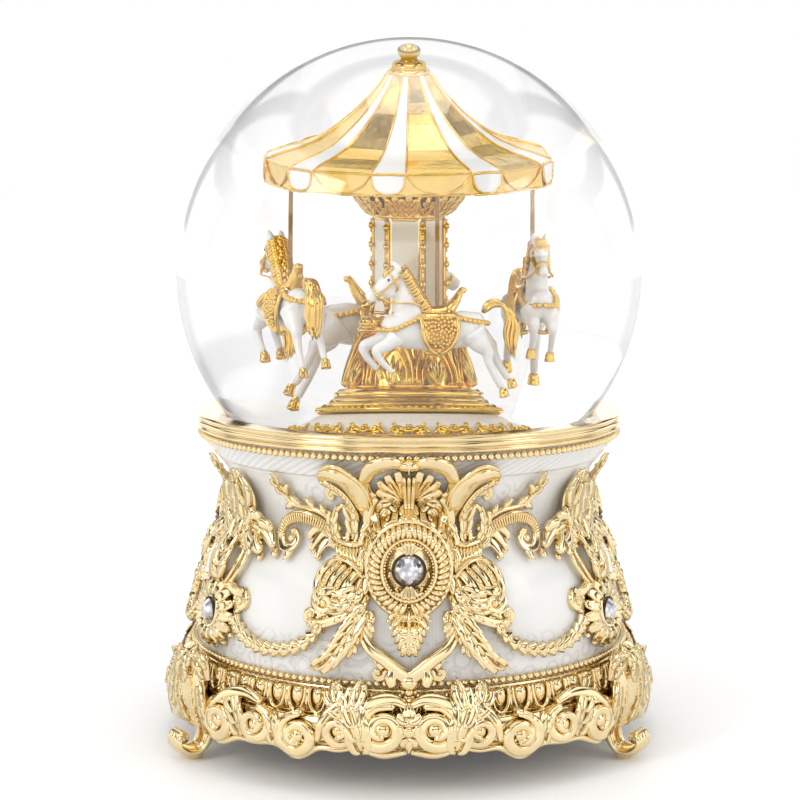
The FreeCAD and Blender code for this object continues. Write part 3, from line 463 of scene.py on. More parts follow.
class Nodes:
    """A node tree, and the ways to add to it."""

    def __init__(self, tree):
        self.tree = tree

    def node(self, kind, output, settings=None, inputs=None):
        """Adds a node with its settings, feeds its inputs and gives one of its outputs."""
        made = self.tree.nodes.new(kind)
        for key, value in (settings or {}).items():
            setattr(made, key, value)
        for key, value in (inputs or {}).items():
            self.join(value, made.inputs[key])
        return Value(self, made.outputs[output])

    def join(self, value, socket):
        if isinstance(value, Value):
            self.tree.links.new(value.socket, socket)
        else:
            socket.default_value = value

    def split(self, vector):
        parts = self.node("ShaderNodeSeparateXYZ", "X", {}, {0: vector}).socket.node
        return [Value(self, parts.outputs[name]) for name in ("X", "Y", "Z")]

    def stepped(self, value, low, high):
        """0 below low, 1 above high, and smooth between them."""
        return self.node("ShaderNodeMapRange", "Result", {"interpolation_type": "SMOOTHSTEP"},
                         {"Value": value, "From Min": low, "From Max": high})

    def mixed(self, factor, first, second):
        """A colour between two colours."""
        return self.node("ShaderNodeMix", 2, {"data_type": "RGBA"}, {"Factor": factor, 6: first, 7: second})


class Shader(Nodes):
    """A material's node tree, with a Principled shader to feed."""

    def __init__(self, name, **settings):
        self.material = bpy.data.materials.new(name)
        self.material.use_nodes = True
        super().__init__(self.material.node_tree)
        self.surface = self.tree.nodes["Principled BSDF"]
        for key, value in settings.items():
            self.feed(key.replace("_", " "), value)

    def feed(self, name, value):
        self.join(value, self.surface.inputs[name])

    def place(self):
        """The point of the surface in the object's own coordinates, in metres."""
        return self.node("ShaderNodeTexCoord", "Object")

    def noise(self, scale, detail=3.0, roughness=0.5, vector=None):
        return self.node("ShaderNodeTexNoise", "Fac", {}, {"Vector": vector or self.place(), "Scale": scale,
                                                           "Detail": detail, "Roughness": roughness})

    def bump(self, height, strength, distance):
        self.feed("Normal", self.node("ShaderNodeBump", "Normal", {}, {"Height": height, "Strength": strength,
                                                                       "Distance": distance}))


def rgb(red, green, blue):
    return (red, green, blue, 1.0)


def hollow_patina_and_painted_shade(shader, low, high):
    """1 in the hollows of a dense mesh and 0 on its ridges: where the gold takes its patina and its painted shade."""
    pointed = shader.node("ShaderNodeNewGeometry", "Pointiness")
    return 1 - shader.stepped(pointed, low, high)


def plated_gold(name, light, deep, roughness=0.16, grain=1400.0, dent=0.00003, hollow=0.75, pitted=0.25,
                hollows=(0.43, 0.51)):
    """Polished plating over a casting: brighter on ridges, darker and rougher in the hollows, where the dark is partly
    a brown patina and partly painted shade.
    """
    shader = Shader(name, Metallic=1.0)
    cloud = shader.noise(260.0, 4.0)
    fine = shader.noise(grain, 3.0, 0.6)
    # Painted shade: the hollows darken towards the deep colour, partly as a brown patina and partly as the shade that
    # falls in them.
    dark = hollow_patina_and_painted_shade(shader, *hollows) * hollow
    colour = shader.mixed(shader.stepped(cloud, 0.35, 0.7), rgb(*light), rgb(*[c * 0.93 for c in light]))
    shader.feed("Base Color", shader.mixed(dark, colour, rgb(*deep)))
    shader.feed("Roughness", roughness + dark * 0.25 + shader.stepped(fine, 0.4, 0.8) * 0.08)
    shader.bump(cloud * 0.7 + fine * 0.3, pitted, dent)
    return shader.material


def pearl_enamel(light):
    """White enamel with a slight pearl, fine slanting lines in its upper band and a faint scroll relief."""
    shader = Shader("pearl_enamel", Coat_Roughness=0.08)
    x, y, z = shader.split(shader.place())
    angle = x.maths("ARCTAN2", x, y)
    band = shader.stepped(z, 0.0611, 0.0616)
    slant = (angle * 110.0 + z * 5200.0).alone("SINE")
    wobble = shader.noise(90.0, 2.0)
    lines = shader.stepped(slant + wobble * 1.2, 0.9, 1.5) * band
    cell = shader.node("ShaderNodeCombineXYZ", "Vector", {}, {0: angle * 0.046, 1: z, 2: 0.0})
    curl = shader.node("ShaderNodeTexVoronoi", "Distance", {}, {"Vector": cell, "Scale": 240.0, "Randomness": 0.85})
    ripple = (curl * 19.0).alone("SINE")
    third = (angle * 3.0).alone("COSINE")
    near_cartouche = shader.stepped(0 - third, 0.1, 0.35)
    edge_zone = shader.stepped(z, 0.0475, 0.0495) * (1 - shader.stepped(z, 0.0585, 0.0605))
    low_zone = 1 - shader.stepped(z, 0.0285, 0.031)
    zone = edge_zone * shader.stepped(0 - third, -0.75, -0.45) + low_zone
    damask = shader.stepped(ripple, 0.35, 0.75) * zone
    seam = shader.stepped(z, 0.0604, 0.0608) * (1 - shader.stepped(z, 0.0612, 0.0615))
    v_panel = shader.stepped(0 - third, 0.93, 0.95) * shader.stepped(z, 0.0240, 0.0250) * (
        1 - shader.stepped(z, 0.0355, 0.0365))
    ribs = (angle * 420.0).alone("SINE")
    tone = lines * 0.6 + damask * 0.6 + near_cartouche * 0.08 + shader.stepped(ribs, 0.2, 0.9) * v_panel * 0.5
    shader.feed("Base Color", shader.mixed(tone, rgb(*light), rgb(*[c * 0.87 for c in light])))
    shader.feed("Roughness", 0.26 + shader.noise(400.0, 3.0) * 0.1)
    shader.feed("Coat Weight", 0.45 - damask * 0.15)
    shader.bump(damask * 0.6 + lines * 0.5 - seam * 0.8 + shader.noise(60.0, 1.0) * 0.4, 0.7, 0.00032)
    return shader.material


def simple_finish(name, light, dark, metallic=0.0, roughness=0.4, scale=300.0, dent=0.00003, coat=0.0, stretch=None):
    """A plain material with clouded colour, uneven gloss and a fine surface, brushed along one axis if stretched."""
    shader = Shader(name, Metallic=metallic, Coat_Weight=coat)
    vector = shader.place()
    if stretch:
        vector = shader.node("ShaderNodeMapping", "Vector", {}, {"Vector": vector, "Scale": stretch})
    cloud = shader.noise(scale, 4.0, 0.6, vector)
    fine = shader.noise(scale * 7, 2.0, 0.5, vector)
    shader.feed("Base Color", shader.mixed(cloud, rgb(*light), rgb(*dark)))
    shader.feed("Roughness", roughness * 0.8 + fine * roughness * 0.4)
    shader.bump(cloud * 0.5 + fine * 0.5, 0.3, dent)
    return shader.material


def clear_glass(name, ior, tint, reflection=0.35):
    """A clear solid with the faintest streaks in its colour. Light that leaves a matt surface passes straight through
    it, so that what it encloses is lit as evenly as what stands outside."""
    shader = Shader(name, IOR=ior, Roughness=0.0)
    shader.feed("Transmission Weight", 1.0)
    shader.feed("Specular IOR Level", reflection)
    streak = shader.noise(25.0, 2.0)
    shader.feed("Base Color", shader.mixed(streak, rgb(*tint), rgb(*[c * 0.995 for c in tint])))
    shadow = shader.node("ShaderNodeLightPath", "Is Shadow Ray")
    diffuse = Value(shader, shadow.socket.node.outputs["Is Diffuse Ray"])
    through = shader.node("ShaderNodeBsdfTransparent", 0)
    mix = shader.node("ShaderNodeMixShader", 0, {}, {0: shadow.maths("MAXIMUM", shadow, diffuse),
                                                     1: Value(shader, shader.surface.outputs[0]), 2: through})
    shader.join(mix, shader.tree.nodes["Material Output"].inputs["Surface"])
    return shader.material


def cut_stone(name):
    """A foil-backed stone whose colour holds painted glints: cells of bright and dark silver that stand in for the
    light its facets catch and reflect.
    """
    shader = Shader(name, Metallic=0.85, Coat_Weight=1.0, Coat_Roughness=0.0)
    cells = shader.node("ShaderNodeTexVoronoi", "Distance", {}, {"Vector": shader.place(), "Scale": 900.0})
    # Painted glints and reflections: bright and dark cells of silver in the stone's colour.
    painted_glints = shader.stepped(cells, 0.1, 0.8)
    shader.feed("Base Color", shader.mixed(painted_glints, rgb(0.98, 0.98, 1.0), rgb(0.45, 0.45, 0.5)))
    shader.feed("Roughness", 0.04 + painted_glints * 0.1)
    return shader.material


MATERIALS = {}


def finish(name):
    return MATERIALS[name]


def make_materials(settings):
    """Every finish of the object, by the name of its slot or of its use."""
    made = MATERIALS
    # Each gold's hollow strength and deep colour set its patina and its painted shade in the hollows.
    made["gold_plate"] = plated_gold("champagne_gold", settings.gold_colour, (0.16, 0.07, 0.015), roughness=0.13,
                                     hollow=0.85)
    made["gold_rim"] = plated_gold("polished_gold", settings.gold_colour, (0.3, 0.16, 0.05), roughness=0.1,
                                   hollow=0.2, pitted=0.08)
    made["gold_inner"] = plated_gold("yellow_gold", settings.inner_gold_colour, (0.20, 0.08, 0.01), roughness=0.12,
                                     grain=2200.0, hollow=0.6)
    made["gold_trim"] = plated_gold("gilded_trim", settings.inner_gold_colour, (0.15, 0.055, 0.006), roughness=0.13,
                                    grain=2200.0, hollow=0.95, hollows=(0.46, 0.53))
    made["gold_hammered"] = plated_gold("hammered_gold", settings.roof_gold_colour, (0.30, 0.15, 0.03), roughness=0.2,
                                        grain=700.0, dent=0.00025, hollow=0.1, pitted=0.6)
    made["enamel_white"] = pearl_enamel(settings.enamel_colour)
    made["horse_white"] = simple_finish("horse_enamel", settings.horse_colour,
                                        [c * 0.93 for c in settings.horse_colour], roughness=0.3,
                                        scale=220.0, coat=0.5)
    made["canopy_white"] = simple_finish("canopy_enamel", (0.87, 0.86, 0.83), (0.8, 0.79, 0.75), roughness=0.35,
                                         scale=180.0, coat=0.3)
    made["stand_white"] = simple_finish("stand_enamel", (0.9, 0.88, 0.83), (0.8, 0.76, 0.68), roughness=0.35,
                                        scale=160.0, coat=0.3)
    # The column's mirror panels: the cream that they reflect is painted into their colour, a painted reflection.
    made["column_cream"] = simple_finish("mirror_with_painted_cream_reflection", (0.80, 0.73, 0.58), (0.74, 0.65, 0.48), roughness=0.14,
                                         metallic=0.25, scale=60.0, coat=0.8)
    made["crystal"] = cut_stone("cut_crystal")
    made["clear_glass"] = clear_glass("globe_glass", 1.47, (0.995, 0.995, 1.0))
    made["water"] = clear_glass("globe_water", 1.333, (1.0, 1.0, 1.0))
    made["bezel_dark"] = simple_finish("dark_bezel", (0.10, 0.07, 0.05), (0.04, 0.03, 0.025), metallic=0.8,
                                       roughness=0.3)
    made["plug_rubber"] = simple_finish("white_rubber", (0.8, 0.8, 0.78), (0.7, 0.7, 0.68), roughness=0.7)
    made["gasket_rubber"] = simple_finish("black_rubber", (0.03, 0.03, 0.03), (0.015, 0.015, 0.015), roughness=0.75)
    made["plate_black"] = simple_finish("black_plate", (0.04, 0.04, 0.045), (0.02, 0.02, 0.02), roughness=0.55,
                                        scale=900.0, dent=0.00008)
    made["movement_brass"] = simple_finish("turned_brass", (0.83, 0.62, 0.28), (0.7, 0.48, 0.2), metallic=1.0,
                                           roughness=0.3, stretch=(1, 1, 12))
    made["movement_steel"] = simple_finish("ground_steel", (0.6, 0.6, 0.62), (0.5, 0.5, 0.52), metallic=1.0,
                                           roughness=0.28, stretch=(1, 8, 1))
    made["spring_steel"] = simple_finish("blued_steel", (0.13, 0.15, 0.24), (0.07, 0.08, 0.14), metallic=1.0,
                                         roughness=0.3)
    made["nickel"] = simple_finish("bright_nickel", (0.74, 0.71, 0.66), (0.65, 0.62, 0.57), metallic=1.0,
                                   roughness=0.22, stretch=(6, 1, 1))
    made["magnet_grey"] = simple_finish("magnet_coating", (0.09, 0.09, 0.1), (0.05, 0.05, 0.055), roughness=0.5)
    made["fan_plastic"] = simple_finish("ivory_plastic", (0.8, 0.77, 0.68), (0.72, 0.69, 0.6), roughness=0.45)
    made["pole_gold"] = plated_gold("aged_gold", settings.pole_colour, (0.2, 0.1, 0.02), roughness=0.22, hollow=0.3)
    made["canopy_gold"] = made["gold_hammered"]
    made["horse_enamel"] = made["horse_white"]


def dress_frame():
    """Every CAD node takes the finish of its slot in the record."""
    slots = {entry["node"]: entry["material_slot"] for entry in frame["record"]["subparts"]}
    for node, thing in frame["nodes"].items():
        thing.data.materials.clear()
        thing.data.materials.append(finish(slots[node]))


# ---------------------------------------------------------------------------------------------- base

def build_housing(settings):
    """The bell, its outside on the frame's own surface."""
    bm = bmesh.new()
    low, high, steps = BELL.heights[0], BELL.heights[-1], 90
    heights = [low + (high - low) * index / steps for index in range(steps + 1)]
    outer = [(BELL.radius(z), z) for z in heights]
    inner = [(r - settings.housing_wall / MM, z) for r, z in reversed(outer)]
    turned(bm, outer + inner, segments=192)
    piece("enamel_bell", bm, "base", "enamel_white", finish("enamel_white"), replaces=["base_housing"])


def build_rim():
    """The polished rim with its two grooves, and the flange that the globe sits in."""
    bm = bmesh.new()
    outline = [(38.0, 66.9), (44.6, 66.8), (45.0, 66.9), (45.7, 67.15), (45.95, 67.5), (45.7, 67.75), (45.35, 67.85),
               (45.5, 68.1), (45.95, 68.4), (46.05, 68.8), (45.8, 69.15), (45.45, 69.3), (45.7, 69.5), (45.95, 69.85),
               (45.7, 70.2), (45.1, 70.32), (44.0, 70.3), (41.2, 70.25), (40.6, 70.2)]
    turned(bm, outline, segments=192)
    piece("globe_rim", bm, "base", "gold_plate", finish("gold_rim"), replaces=["top_rim"])


def build_beads(settings):
    """The strings of beads under the rim and over the skirt, just inside the frame's own."""
    for name, node, inside, diameter, count in (
            ("rim_beads", "rim_bead_string", 0.7, settings.rim_bead_diameter, settings.rim_bead_count),
            ("lower_beads", "lower_bead_string", 0.75, settings.lower_bead_diameter, settings.lower_bead_count)):
        bm = bmesh.new()
        low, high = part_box(node)
        ball_circle(bm, count, high.x / MM - inside, (low.z + high.z) / 2 / MM, diameter / 2 / MM, 8)
        base_gold(name, bm, node)


def build_skirt():
    """The skirt's moulded band with its row of eggs, each in a raised frame, and darts."""
    bm = bmesh.new()
    outline = [(46.05, 8.4), (49.2, 8.3), (50.0, 8.6), (50.3, 9.4), (50.1, 11.5), (49.6, 13.2), (49.2, 14.2),
               (49.5, 14.7), (49.2, 15.2), (48.0, 15.5), (47.3, 17.0), (47.0, 18.8), (46.9, 19.9), (46.8, 20.4),
               (46.05, 20.4)]
    turned(bm, outline, segments=168)
    motif = bmesh.new()

    def egg(t, s, face):
        girth = math.sin(math.pi * min(t * 0.8 + 0.2, 1.0)) ** 0.6
        return relief(1.35 * s * girth, 20.2 - 4.0 * t, 0.2 + 0.7 * t + 1.5 * max(face, -0.2) * girth)

    form(motif, egg, 12, 10)
    strip(motif, [(-1.75, 20.3, 0.5), (-1.75, 18.2, 1.0), (-1.2, 16.2, 1.4), (0.0, 15.4, 1.5), (1.2, 16.2, 1.4),
                  (1.75, 18.2, 1.0), (1.75, 20.3, 0.5)], 0.32, 0.9, along=20, around=8)
    strip(motif, [(2.2, 20.3, 0.3), (2.2, 18.0, 1.0), (2.2, 15.8, 1.4)], [0.1, 0.3, 0.4, 0.2], 0.7, along=6, around=6)
    band_radius = 47.3
    repeat_round(bm, motif, lambda v: band_radius, evenly(66), band_radius)
    base_gold("skirt_moulding", bm, "base_skirt")


def right_half_of_cartouche(bm):
    """Everything of a cartouche that has a mirror image."""
    # The crown: a smooth cap over ribs that fan out from the stem.
    strip(bm, [(1.4, 65.0, 2.2), (4.2, 65.3, 2.8), (7.4, 64.0, 2.6), (9.2, 61.3, 2.2), (8.8, 58.6, 1.8),
               (7.0, 57.6, 1.6)],
          [0.9, 1.5, 1.6, 1.4, 1.1, 0.7], [1.2, 1.6, 1.6, 1.5, 1.3, 1.0], channel=0.12, along=34)
    for tip, bend in (((2.5, 63.6), (1.6, 60.6)), ((4.6, 62.9), (3.6, 60.6)), ((6.4, 61.4), (5.2, 59.6)),
                      ((7.0, 59.3), (5.6, 58.2))):
        strip(bm, [(0.8, 56.4, 1.0), (bend[0], bend[1], 1.8), (tip[0], tip[1], 1.9)], [0.35, 0.75, 1.05, 0.75],
              [0.9, 1.2, 1.3, 1.0], channel=0.35, along=18, around=8)
    # Large volutes under the crown, with leaves that spill out of them.
    scroll(bm, [(0.9, 50.6, 0.8), (3.2, 50.4, 1.4), (6.2, 50.9, 2.0), (7.7, 53.2, 2.0)], (5.0, 53.9), 2.7, 0, 1.5, 1,
           1.0,
           1.7)
    strip(bm, [(7.0, 57.4, 1.2), (8.8, 55.6, 1.8), (9.6, 52.6, 1.8), (9.0, 49.6, 1.2)], [0.5, 1.2, 1.1, 0.5], 1.5,
          channel=0.35, along=24)
    leaf(bm, [(8.2, 51.8, 1.2), (9.4, 49.2, 2.0), (9.2, 46.0, 1.6), (9.6, 43.6, 1.0)], 1.9, 1.4, fingers=4)
    leaf(bm, [(2.6, 55.6, 0.8), (4.6, 57.0, 1.4), (7.2, 56.4, 1.0)], 1.2, 1.1, fingers=3)
    # The horn: a smooth outer band with beads along its inner edge.
    horn = [(9.9, 52.4, 0.8), (10.0, 56.0, 1.8), (12.4, 60.2, 2.4), (15.6, 62.2, 2.4), (18.4, 61.8, 1.6),
            (19.4, 59.8, 1.0)]
    strip(bm, horn, [1.2, 2.2, 2.3, 1.8, 1.3, 1.0], [1.0, 1.7, 1.8, 1.6, 1.2, 0.8], channel=0.1, along=34)
    strip(bm, [(9.0, 52.8, 1.2), (8.4, 56.8, 2.4), (11.2, 62.0, 3.0), (15.4, 64.2, 2.6), (19.2, 62.8, 1.8)],
          0.5, [0.7, 0.9, 0.7], along=30, around=8)
    bead_line = [(12.0, 51.6, 1.4), (12.7, 54.6, 2.0), (14.6, 57.8, 2.4), (17.0, 59.6, 2.2), (19.2, 60.2, 1.6)]
    strip(bm, bead_line, 0.85, 0.7, along=24, around=8)
    beads(bm, [(u, v, w + 0.6) for u, v, w in bead_line], 0.46, 1.0)
    scroll(bm, [(15.0, 57.4, 0.8), (17.2, 58.4, 1.2)], (18.4, 57.4), 1.4, 120, 1.0, -1, 0.7, 1.1)
    # The open ring behind the horn, and the spray of leaves round it.
    ring(bm, (15.5, 52.0), 2.0, 3.3, 0.62, height=1.4)
    leaf(bm, [(13.4, 47.8, 0.8), (12.9, 51.0, 1.5), (13.8, 54.8, 1.2), (15.0, 57.0, 0.9)], 1.3, 1.2, fingers=4)
    leaf(bm, [(16.4, 47.6, 0.8), (18.2, 50.2, 1.5), (18.2, 53.0, 1.2), (17.0, 55.6, 0.9)], 1.3, 1.2, fingers=4)
    # The quiver's ribbed mouth.
    for index in range(9):
        share = index / 8
        top = (10.2 + 6.4 * share, 48.4 - 0.2 * share - 0.6 * math.sin(math.pi * share))
        low = (9.7 + 5.8 * share ** 1.5, 42.6 + 2.6 * share ** 1.2)
        strip(bm, [(top[0], top[1], 1.9), ((top[0] + low[0]) / 2, (top[1] + low[1]) / 2, 2.3), (low[0], low[1], 1.6)],
              0.45, 0.8, along=8, around=8)
    strip(bm, [(9.2, 48.8, 1.8), (12.4, 48.0, 2.7), (16.9, 48.6, 1.8)], 0.6, 0.9, along=14, around=8)
    strip(bm, [(9.2, 41.6, 1.6), (11.2, 44.0, 2.8), (13.6, 45.2, 2.8), (16.8, 45.2, 1.7)], 0.55, 0.9, along=16,
          around=8)
    # The quiver's body: slanting straps, beaded ones between smooth ones.
    for offset, beaded in ((0.0, False), (1.35, True), (2.7, False), (4.05, True), (5.4, False)):
        start = (10.9 + offset * 0.95, 43.4 + offset * 0.35, 1.8)
        end = (14.0 + offset * 1.0, 37.0 + offset * 0.66, 1.4)
        middle = ((start[0] + end[0]) / 2 + 0.5, (start[1] + end[1]) / 2 + 0.3, 2.5)
        strip(bm, [start, middle, end], 0.72, 0.9, channel=0.2, along=14, around=8)
        if beaded:
            beads(bm, [(start[0], start[1], 2.6), (middle[0], middle[1], 3.3), (end[0], end[1], 2.2)], 0.42, 0.9)
    strip(bm, [(16.0, 45.4, 1.0), (18.8, 42.8, 1.6), (19.4, 39.0, 1.2), (18.4, 36.8, 1.0)], [0.5, 1.0, 0.9, 0.5], 1.2,
          channel=0.3, along=20)
    # Folded leaves under the quiver, and the volute at its foot.
    leaf(bm, [(9.8, 42.4, 1.2), (10.8, 39.0, 2.2), (13.6, 37.6, 1.8), (16.4, 37.8, 1.4)], 2.0, 1.5, fingers=4)
    leaf(bm, [(9.0, 39.6, 1.0), (11.2, 36.8, 2.0), (14.2, 35.2, 1.4), (16.8, 35.2, 1.0)], 1.8, 1.4, fingers=4)
    scroll(bm, [(12.8, 38.0, 1.2), (15.0, 39.4, 1.8), (17.6, 39.2, 2.0)], (17.6, 36.7), 2.5, 90, 1.4, -1, 1.05, 1.6)
    scroll(bm, [(8.6, 36.4, 1.2), (12.6, 34.6, 1.8), (16.8, 33.0, 1.6), (19.8, 32.8, 1.2)], (20.3, 34.2), 1.4, -90, 1.0,
           1, 0.95, 1.3)
    strip(bm, [(8.4, 37.8, 1.4), (9.9, 35.2, 2.0), (9.6, 32.6, 1.4), (8.6, 31.4, 1.0)], [0.6, 1.1, 0.9, 0.4], 1.3,
          channel=0.35, along=20)
    # Twig with its bud, over the fern.
    strip(bm, [(16.2, 50.0, 0.8), (18.9, 52.6, 1.4), (22.2, 54.0, 1.4), (26.0, 54.4, 1.2), (29.0, 54.9, 1.2),
               (30.9, 56.6, 1.1), (31.6, 58.6, 1.1)], [1.0, 0.8, 0.65, 0.55, 0.5, 0.5], 1.0, along=34, around=8)
    for root, tip in (((22.8, 54.0), (24.8, 56.4)), ((26.6, 54.3), (29.4, 56.6)), ((28.4, 54.8), (31.4, 53.6)),
                      ((30.6, 56.4), (29.2, 58.8)), ((20.0, 53.0), (21.0, 55.2))):
        middle = ((root[0] + tip[0]) / 2, (root[1] + tip[1]) / 2 + 0.2, 1.4)
        strip(bm, [(root[0], root[1], 0.6), middle, (tip[0], tip[1], 0.7)], [0.3, 0.9, 0.2], 1.1, along=10, around=8)
    leaf(bm, [(31.2, 57.0, 0.8), (31.9, 59.4, 1.4), (32.2, 61.6, 0.9)], 1.1, 1.1, fingers=3)
    # The fern: a ribbed C-curl.
    fern = [(16.0, 47.2, 0.8), (18.4, 49.8, 1.4), (22.6, 51.9, 1.8), (27.0, 52.4, 2.0), (30.6, 51.2, 1.9),
            (32.0, 48.8, 1.7), (30.9, 46.4, 1.5), (28.4, 46.2, 1.5), (27.2, 47.8, 1.5), (28.4, 49.4, 1.5),
            (29.8, 48.8, 1.5)]
    strip(bm, fern, [0.7, 1.1, 1.35, 1.5, 1.3, 1.15, 0.95, 0.75, 0.6], [0.8, 1.0, 1.0, 0.9], channel=0.6, along=60)
    path = Path(fern)
    for index in range(26):
        centre, across, outward = path.frame(0.14 + 0.5 * index / 25, OUT)
        strip(bm, [centre - across * 1.2 + outward * 0.5, centre + outward * 0.8,
                   centre + across * 1.3 + outward * 0.5],
              0.24, 0.6, along=5, around=6)
    ball(bm, (28.9, 48.1, 1.8), 0.9)
    strip(bm, [(28.6, 46.0, 1.3), (28.9, 44.8, 1.2), (29.6, 44.0, 0.6)], [1.1, 1.0, 0.2], 1.1, along=8)
    for root, tip, bend in (((17.0, 47.8), (22.9, 46.0), 49.8), ((16.8, 47.0), (21.2, 44.8), 48.0),
                            ((18.2, 48.8), (24.0, 48.0), 50.8)):
        strip(bm, [(root[0], root[1], 0.7), ((root[0] + tip[0]) / 2, bend, 1.5), (tip[0] - 0.4, tip[1] + 1.4, 1.4),
                   (tip[0], tip[1], 0.8)], [0.5, 1.0, 0.9, 0.6], 1.2, channel=0.3, along=18)
        ball(bm, (tip[0] - 0.3, tip[1] + 0.1, 0.9), 0.75)
    # Long leaves below, a small hanging leaf, and the V strap with its volute.
    leaf(bm, [(9.0, 36.0, 1.0), (11.2, 32.2, 2.0), (13.4, 28.4, 1.8), (15.8, 25.0, 1.4), (19.0, 23.4, 0.8)], 1.7, 1.6,
         fingers=7)
    leaf(bm, [(8.0, 35.6, 1.0), (8.4, 32.8, 1.6), (7.0, 30.6, 1.0)], 1.5, 1.3, fingers=3)
    leaf(bm, [(10.9, 31.0, 0.8), (11.3, 28.8, 1.4), (11.6, 26.4, 0.8)], 1.4, 1.2, fingers=3)
    strip(bm, [(10.2, 33.6, 0.8), (7.6, 29.1, 1.6), (4.0, 26.3, 1.8), (1.7, 24.2, 1.9), (0.0, 22.9, 2.0)],
          [0.9, 1.2, 1.3, 1.4, 1.6], [1.1, 1.4, 1.4], channel=0.3, along=30)
    scroll(bm, [(7.0, 27.4, 0.8), (5.2, 25.2, 1.2)], (5.9, 23.6), 1.5, 130, 1.1, 1, 0.75, 1.2)
    strip(bm, [(3.2, 24.8, 1.6), (3.4, 22.8, 2.2), (3.0, 21.2, 2.4)], [0.9, 1.3, 0.8], 1.4, along=12)
    # Leaf border of the medallion: slanting blades between two rings.
    for index in range(20):
        angle = math.radians(-90 + 9 * (index + 0.5))
        inner = (5.7 * math.cos(angle), MEDALLION_HEIGHT + 6.5 * math.sin(angle), 4.2)
        lean = angle + 0.16
        outer = (8.0 * math.cos(lean), MEDALLION_HEIGHT + 9.0 * math.sin(lean), 3.4)
        middle = ((inner[0] + outer[0]) / 2, (inner[1] + outer[1]) / 2, 4.7)
        strip(bm, [inner, middle, outer], [0.3, 0.66, 0.4], 0.85, along=8, around=8)


def medallion(bm):
    """The middle of a cartouche: crown knop, stem, oval medallion, pendant and foot of the V."""
    form(bm, lambda t, s, face: relief(2.5 * s * math.sin(math.pi * t), 66.3 - 3.6 * t,
         1.6 + 2.6 * max(face, -0.2) * math.sin(math.pi * t)), 20, 12)
    strip(bm, [(0, 62.9, 4.0), (0, 64.4, 4.5), (0, 65.8, 4.0)], 0.2, 0.2, along=8, around=6)
    for u in (-0.8, 0.0, 0.8):
        strip(bm, [(u * 1.3, 62.6, 2.4), (u, 57.5, 2.6), (u * 0.6, 52.2, 2.0)], 0.46, 1.0, along=16, around=8)
    leaf(bm, [(0, 55.6, 1.2), (0, 53.4, 2.6), (0, 51.2, 2.0)], 1.8, 1.2, fingers=3)

    dome(bm, MEDALLION_HEIGHT, 8.3, 9.3, 3.4, 48, 8)
    ring(bm, (0, MEDALLION_HEIGHT), 8.4, 9.4, 0.62, height=3.2)
    ring(bm, (0, MEDALLION_HEIGHT), 5.35, 6.1, 0.42, height=4.4)
    beads(bm, oval((0, MEDALLION_HEIGHT), 4.75, 5.5, 40, 4.7), 0.26, 0.62)
    for aim in (90, -90):
        side = math.copysign(1, aim)
        fan(bm, (0, MEDALLION_HEIGHT + side * 2.6, 4.6), 3.1, aim, 52, 5, 1.3)
        for hand in (-1, 1):
            scroll(bm, [(hand * 0.9, MEDALLION_HEIGHT + side * 4.9, 4.6),
                        (hand * 2.2, MEDALLION_HEIGHT + side * 4.4, 4.8)],
                   (hand * 3.0, MEDALLION_HEIGHT + side * 3.2), 0.85, 90 * side, 1.0, -hand * side, 0.36, 0.8)
    for hand in (-1, 1):
        scroll(bm, [(hand * 3.9, 42.8, 4.5), (hand * 3.7, 43.6, 4.7)], (hand * 3.9, 44.4), 0.6, -90, 1.0, hand, 0.3,
               0.7)
    strip(bm, [(0, 37.2, 2.0), (0, 33.0, 3.0), (0, 29.8, 2.4), (0, 27.4, 0.9)], [1.2, 2.6, 2.0, 0.3], 1.0, along=20)
    strip(bm, [(0, 36.6, 2.8), (0, 33.0, 3.8), (0, 27.6, 1.4)], [0.4, 0.45, 0.12], 0.7, along=16, around=8)
    for side in (-1, 1):
        for index in range(6):
            reach = 4.4 - 0.62 * index
            high = 36.6 - 1.25 * index
            strip(bm, [(side * 0.3, high, 2.6), (side * 0.6 * reach, high - 1.0, 3.2), (side * reach, high - 2.9, 2.0)],
                  [0.4, 0.68, 0.62, 0.2], [0.9, 1.1, 0.8], channel=0.3, along=10, around=8)
    fan(bm, (0, 36.6, 2.6), 2.4, 90, 80, 5, 1.0)
    ball(bm, (0, 22.0, 2.0), 1.9, flat=0.8, detail=12)
    ball(bm, (0, 20.2, 2.4), 1.0, flat=0.9, detail=10)


def cartouche_relief(bm):
    right_half_of_cartouche(bm)
    mirrored(bm)
    medallion(bm)
    # The medallion stands upright: its points move out to one plane instead of following the bell's waist.
    for vert in bm.verts:
        u, v = vert.co.x, vert.co.z
        reach = math.hypot(u / 8.8, (v - MEDALLION_HEIGHT) / 9.8)
        if reach < 1.25:
            share = min(max((1.25 - reach) / 0.25, 0.0), 1.0)
            share = share * share * (3 - 2 * share)
            upright = 41.9 + 0.055 * (MEDALLION_HEIGHT - v) - BELL.radius(v)
            vert.co.y -= upright * share
    bmesh.ops.recalc_face_normals(bm, faces=bm.faces)


def build_cartouches():
    three_copies("cartouche_relief", cartouche_relief, BELL, THIRDS, lambda name: ["cartouche_" + name])


def brilliant(bm, radius, width=1.0, facets=16):
    """A cut stone on the origin that faces +Z: a cone's frustums with turned facets."""
    made = bmesh.ops.create_cone(bm, cap_ends=True, segments=facets, radius1=radius, radius2=radius * 0.62,
                                 depth=radius * 0.42)["verts"]
    top = [vert for vert in made if vert.co.z > 0]
    bmesh.ops.translate(bm, verts=made, vec=(0, 0, radius * 0.21))
    face = [f for f in bm.faces if all(vert in top for vert in f.verts)]
    bmesh.ops.inset_region(bm, faces=face, thickness=radius * 0.12, depth=radius * 0.05)
    bmesh.ops.rotate(bm, verts=list(face[0].verts), cent=(0, 0, 0), matrix=Matrix.Rotation(math.pi / facets, 3, "Z"))
    bmesh.ops.triangulate(bm, faces=[f for f in bm.faces if len(f.verts) == 4])
    bmesh.ops.scale(bm, verts=bm.verts, vec=(width, 1, 1))


